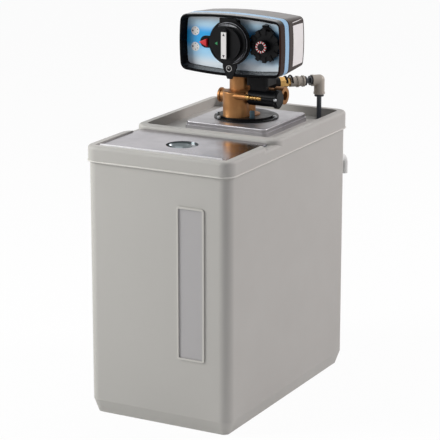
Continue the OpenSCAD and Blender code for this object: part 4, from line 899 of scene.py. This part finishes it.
class SOFTENER_OT_dials(Operation, bpy.types.Operator):
    """Finishes the dial, the knob, the day wheel and the button, and adds their marks"""

    bl_idname = "softener.dials"
    bl_label = "Dials"

    def execute(self, context):
        finish = settings("finish")
        tabs = [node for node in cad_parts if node.startswith("day_tab")]
        black = plastic("satin_abs", finish.black, "#111113", 0.34, 1.0, 0.015, Specular_IOR_Level=0.15)
        dress(black, "dial_bracket", "regen_knob", "day_wheel", *tabs)
        dress(printed_dial(), "hour_dial")
        dress(plastic("red_abs", finish.red, "#b81a24", 0.25, 1.0, 0.01), "red_button")
        white = plastic("mark_white", finish.white, "#dedcda", 0.4, 0.8, 0.005)
        ink = plastic("mark_ink", finish.ink, "#2d3036", 0.4, 0.8, 0.005)
        red = plastic("mark_red", finish.red, "#b81a24", 0.4, 0.8, 0.005)
        self.button_cap(red)
        self.knob_strip(white, ink)
        self.knob_mark(plastic("mark_green", finish.green, "#27834e", 0.4, 0.8, 0.005))
        self.hour_marks(ink)
        self.wheel_marks(white, red)
        self.wheel_pointer(black)
        self.lug_sign(white)
        return {"FINISHED"}

    def button_cap(self, red):
        """Rounded wedge moulded over the red button, pointing to the left."""
        low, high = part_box("red_button")
        z, half_h = (low.z + high.z) / 2, 6.8 * MM
        left, right = low.x - 0.6 * MM, high.x + 2.4 * MM
        behind, depth, edge_r = 2.4 * MM, 5.2 * MM, 1.6 * MM
        bm = bmesh.new()
        raised_mark(bm, [(left, z), (right, z + half_h), (right, z - half_h)], low.y + behind, depth)
        front = [e for e in bm.edges if all(v.co.y < low.y for v in e.verts)]
        bmesh.ops.bevel(
            bm, geom=front, offset=edge_r, affect="EDGES", segments=4, profile=0.5, material=-1
        )
        make_piece("button_cap", bm, red, "red_button")

    def knob_strip(self, white, ink):
        """White strip along the knob's grip, with an arrow at each end."""
        trim = settings("trim")
        front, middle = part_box("regen_knob")[0].y, middle_of("regen_knob")
        x, z = middle.x, middle.z - 1.2 * MM
        w, h = trim.strip_w / 2, trim.strip_l / 2
        arrow_w, arrow_base, arrow_tip = 2.2 * MM, h - 6 * MM, h - 1.8 * MM
        bm = bmesh.new()
        corners = [(x - w, z - h), (x + w, z - h), (x + w, z + h), (x - w, z + h)]
        raised_mark(bm, corners, front, trim.mark_lift)
        make_piece("knob_strip", bm, white, "regen_knob")
        bm = bmesh.new()
        for s in (-1, 1):
            base = z + s * arrow_base
            arrow = [(x - arrow_w, base), (x + arrow_w, base), (x, z + s * arrow_tip)]
            raised_mark(bm, arrow, front - trim.mark_lift, trim.mark_lift)
        make_piece("knob_arrows", bm, ink, "regen_knob")

    def knob_mark(self, green):
        """Green wedge on the knob's disc, left of the grip."""
        trim = settings("trim")
        z, disc_h = middle_of("regen_knob").z - 1 * MM, 4.3 * MM
        tip, base, half_h = -22 * MM, -17.5 * MM, 2.8 * MM
        bm = bmesh.new()
        outline = [(tip, z), (base, z + half_h), (base, z - half_h)]
        raised_mark(bm, outline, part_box("hour_dial")[0].y - disc_h, trim.mark_lift)
        make_piece("knob_mark", bm, green, "regen_knob")

    def hour_marks(self, ink):
        """A bar for every hour round the dial, and plain numbers at every second one."""
        trim = settings("trim")
        low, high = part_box("hour_dial")
        x, z, r = (low.x + high.x) / 2, (low.z + high.z) / 2, (high.x - low.x) / 2
        bar_r, bar_w, bar_h, number_r = r - 2.6 * MM, 0.6 * MM, 1.8 * MM, r - 5.2 * MM
        bm = bmesh.new()
        for hour in range(trim.hours):
            angle = 2 * math.pi * hour / trim.hours
            raised_mark(bm, turned_box(x, z, bar_r, angle, bar_w, bar_h), low.y, trim.mark_lift)
            if hour % 2 == 0:
                self.number(bm, str(hour or trim.hours), x, z, number_r, angle, low.y)
        make_piece("hour_marks", bm, ink, "hour_dial")

    def number(self, bm, words, x, z, radius, angle, front_y):
        """Adds a plain number to a bmesh, upright to the rim of a dial."""
        trim = settings("trim")
        curve = bpy.data.curves.new("number", "FONT")
        curve.body, curve.size = words, 3.4 * MM
        curve.align_x, curve.align_y = "CENTER", "CENTER"
        curve.extrude = trim.mark_lift / 2
        holder = bpy.data.objects.new("number", curve)
        mesh = bpy.data.meshes.new_from_object(holder)
        place = (
            Matrix.Translation((x, front_y - trim.mark_lift / 2, z))
            @ Matrix.Rotation(angle, 4, "Y")
            @ Matrix.Translation((0, 0, radius))
            @ Matrix.Rotation(math.pi / 2, 4, "X")
        )
        mesh.transform(place)
        bm.from_mesh(mesh)
        bpy.data.meshes.remove(mesh)
        bpy.data.objects.remove(holder)
        bpy.data.curves.remove(curve)

    def wheel_marks(self, white, red):
        """Red and white dashes round the day wheel's hub."""
        trim = settings("trim")
        front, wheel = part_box("day_wheel")[0].y, middle_of("day_wheel")
        count, ring_r, dash_w, dash_h = 24, 7.6 * MM, 1.2 * MM, 3.2 * MM
        for name, ink, first in (("wheel_dashes_white", white, 0), ("wheel_dashes_red", red, 1)):
            bm = bmesh.new()
            for i in range(first, count, 2):
                dash = turned_box(wheel.x, wheel.z, ring_r, 2 * math.pi * i / count, dash_w, dash_h)
                raised_mark(bm, dash, front, trim.mark_lift)
            make_piece(name, bm, ink, "day_wheel")

    def wheel_pointer(self, black):
        """Wedge on the panel that joins the fixed pointer to the day wheel's rim."""
        wheel, half_w, thickness = middle_of("day_wheel"), 16 * MM, 2.4 * MM
        base, tip = wheel.z + 20 * MM, wheel.z + 33 * MM
        bm = bmesh.new()
        outline = [(wheel.x - half_w, base), (wheel.x, tip), (wheel.x + half_w, base)]
        raised_mark(bm, outline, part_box("face_panel")[0].y, thickness)
        make_piece("wheel_pointer", bm, black, "cabinet")

    def lug_sign(self, white):
        """A plain clock sign on the bracket's lug."""
        trim = settings("trim")
        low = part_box("dial_bracket")[0]
        x, z, hand_w = -1 * MM, low.z + 16.5 * MM, 0.7 * MM
        count, inner, outer, overlap = 40, 4.2 * MM, 5 * MM, 1.04
        length = 2 * math.pi * outer / count * overlap
        bm = bmesh.new()
        for i in range(count):
            angle = 2 * math.pi * i / count
            bar = turned_box(x, z, (inner + outer) / 2, angle, length, outer - inner)
            raised_mark(bm, bar, low.y, trim.mark_lift)
        for angle, reach in ((0, 3.2 * MM), (-60, 2.6 * MM)):
            hand = turned_box(x, z, reach / 2, math.radians(angle), hand_w, reach)
            raised_mark(bm, hand, low.y, trim.mark_lift)
        make_piece("lug_sign", bm, white, "cabinet")


OPERATORS = (
    SOFTENER_OT_stage,
    SOFTENER_OT_cabinet,
    SOFTENER_OT_inside,
    SOFTENER_OT_valve,
    SOFTENER_OT_brine_line,
    SOFTENER_OT_head,
    SOFTENER_OT_dials,
)


class SOFTENER_PT_panel(bpy.types.Panel):
    """Lists the softener's groups of pieces"""

    bl_idname = "SOFTENER_PT_panel"
    bl_label = "Water softener"
    bl_space_type = "VIEW_3D"
    bl_region_type = "UI"
    bl_category = "Softener"

    def draw(self, context):
        for operator in OPERATORS:
            self.layout.operator(operator.bl_idname)
        for group in ("finish", "trim", "stage"):
            values = settings(group)
            for name in values.bl_rna.properties.keys():
                if name not in ("name", "rna_type"):
                    self.layout.prop(values, name)


GROUPS = {"finish": SoftenerFinish, "trim": SoftenerTrim, "stage": SoftenerStage}
CLASSES = (*GROUPS.values(), *OPERATORS, SOFTENER_PT_panel)


def register():
    for made in CLASSES:
        bpy.utils.register_class(made)
    for name, group in GROUPS.items():
        setattr(bpy.types.Scene, "softener_" + name, PointerProperty(type=group))


def unregister():
    for name in GROUPS:
        delattr(bpy.types.Scene, "softener_" + name)
    for made in reversed(CLASSES):
        bpy.utils.unregister_class(made)


def main():
    register()
    bpy.ops.softener.stage()
    bpy.ops.softener.cabinet()
    bpy.ops.softener.inside()
    bpy.ops.softener.valve()
    bpy.ops.softener.brine_line()
    bpy.ops.softener.head()
    bpy.ops.softener.dials()


if __name__ == "__main__":
    main()
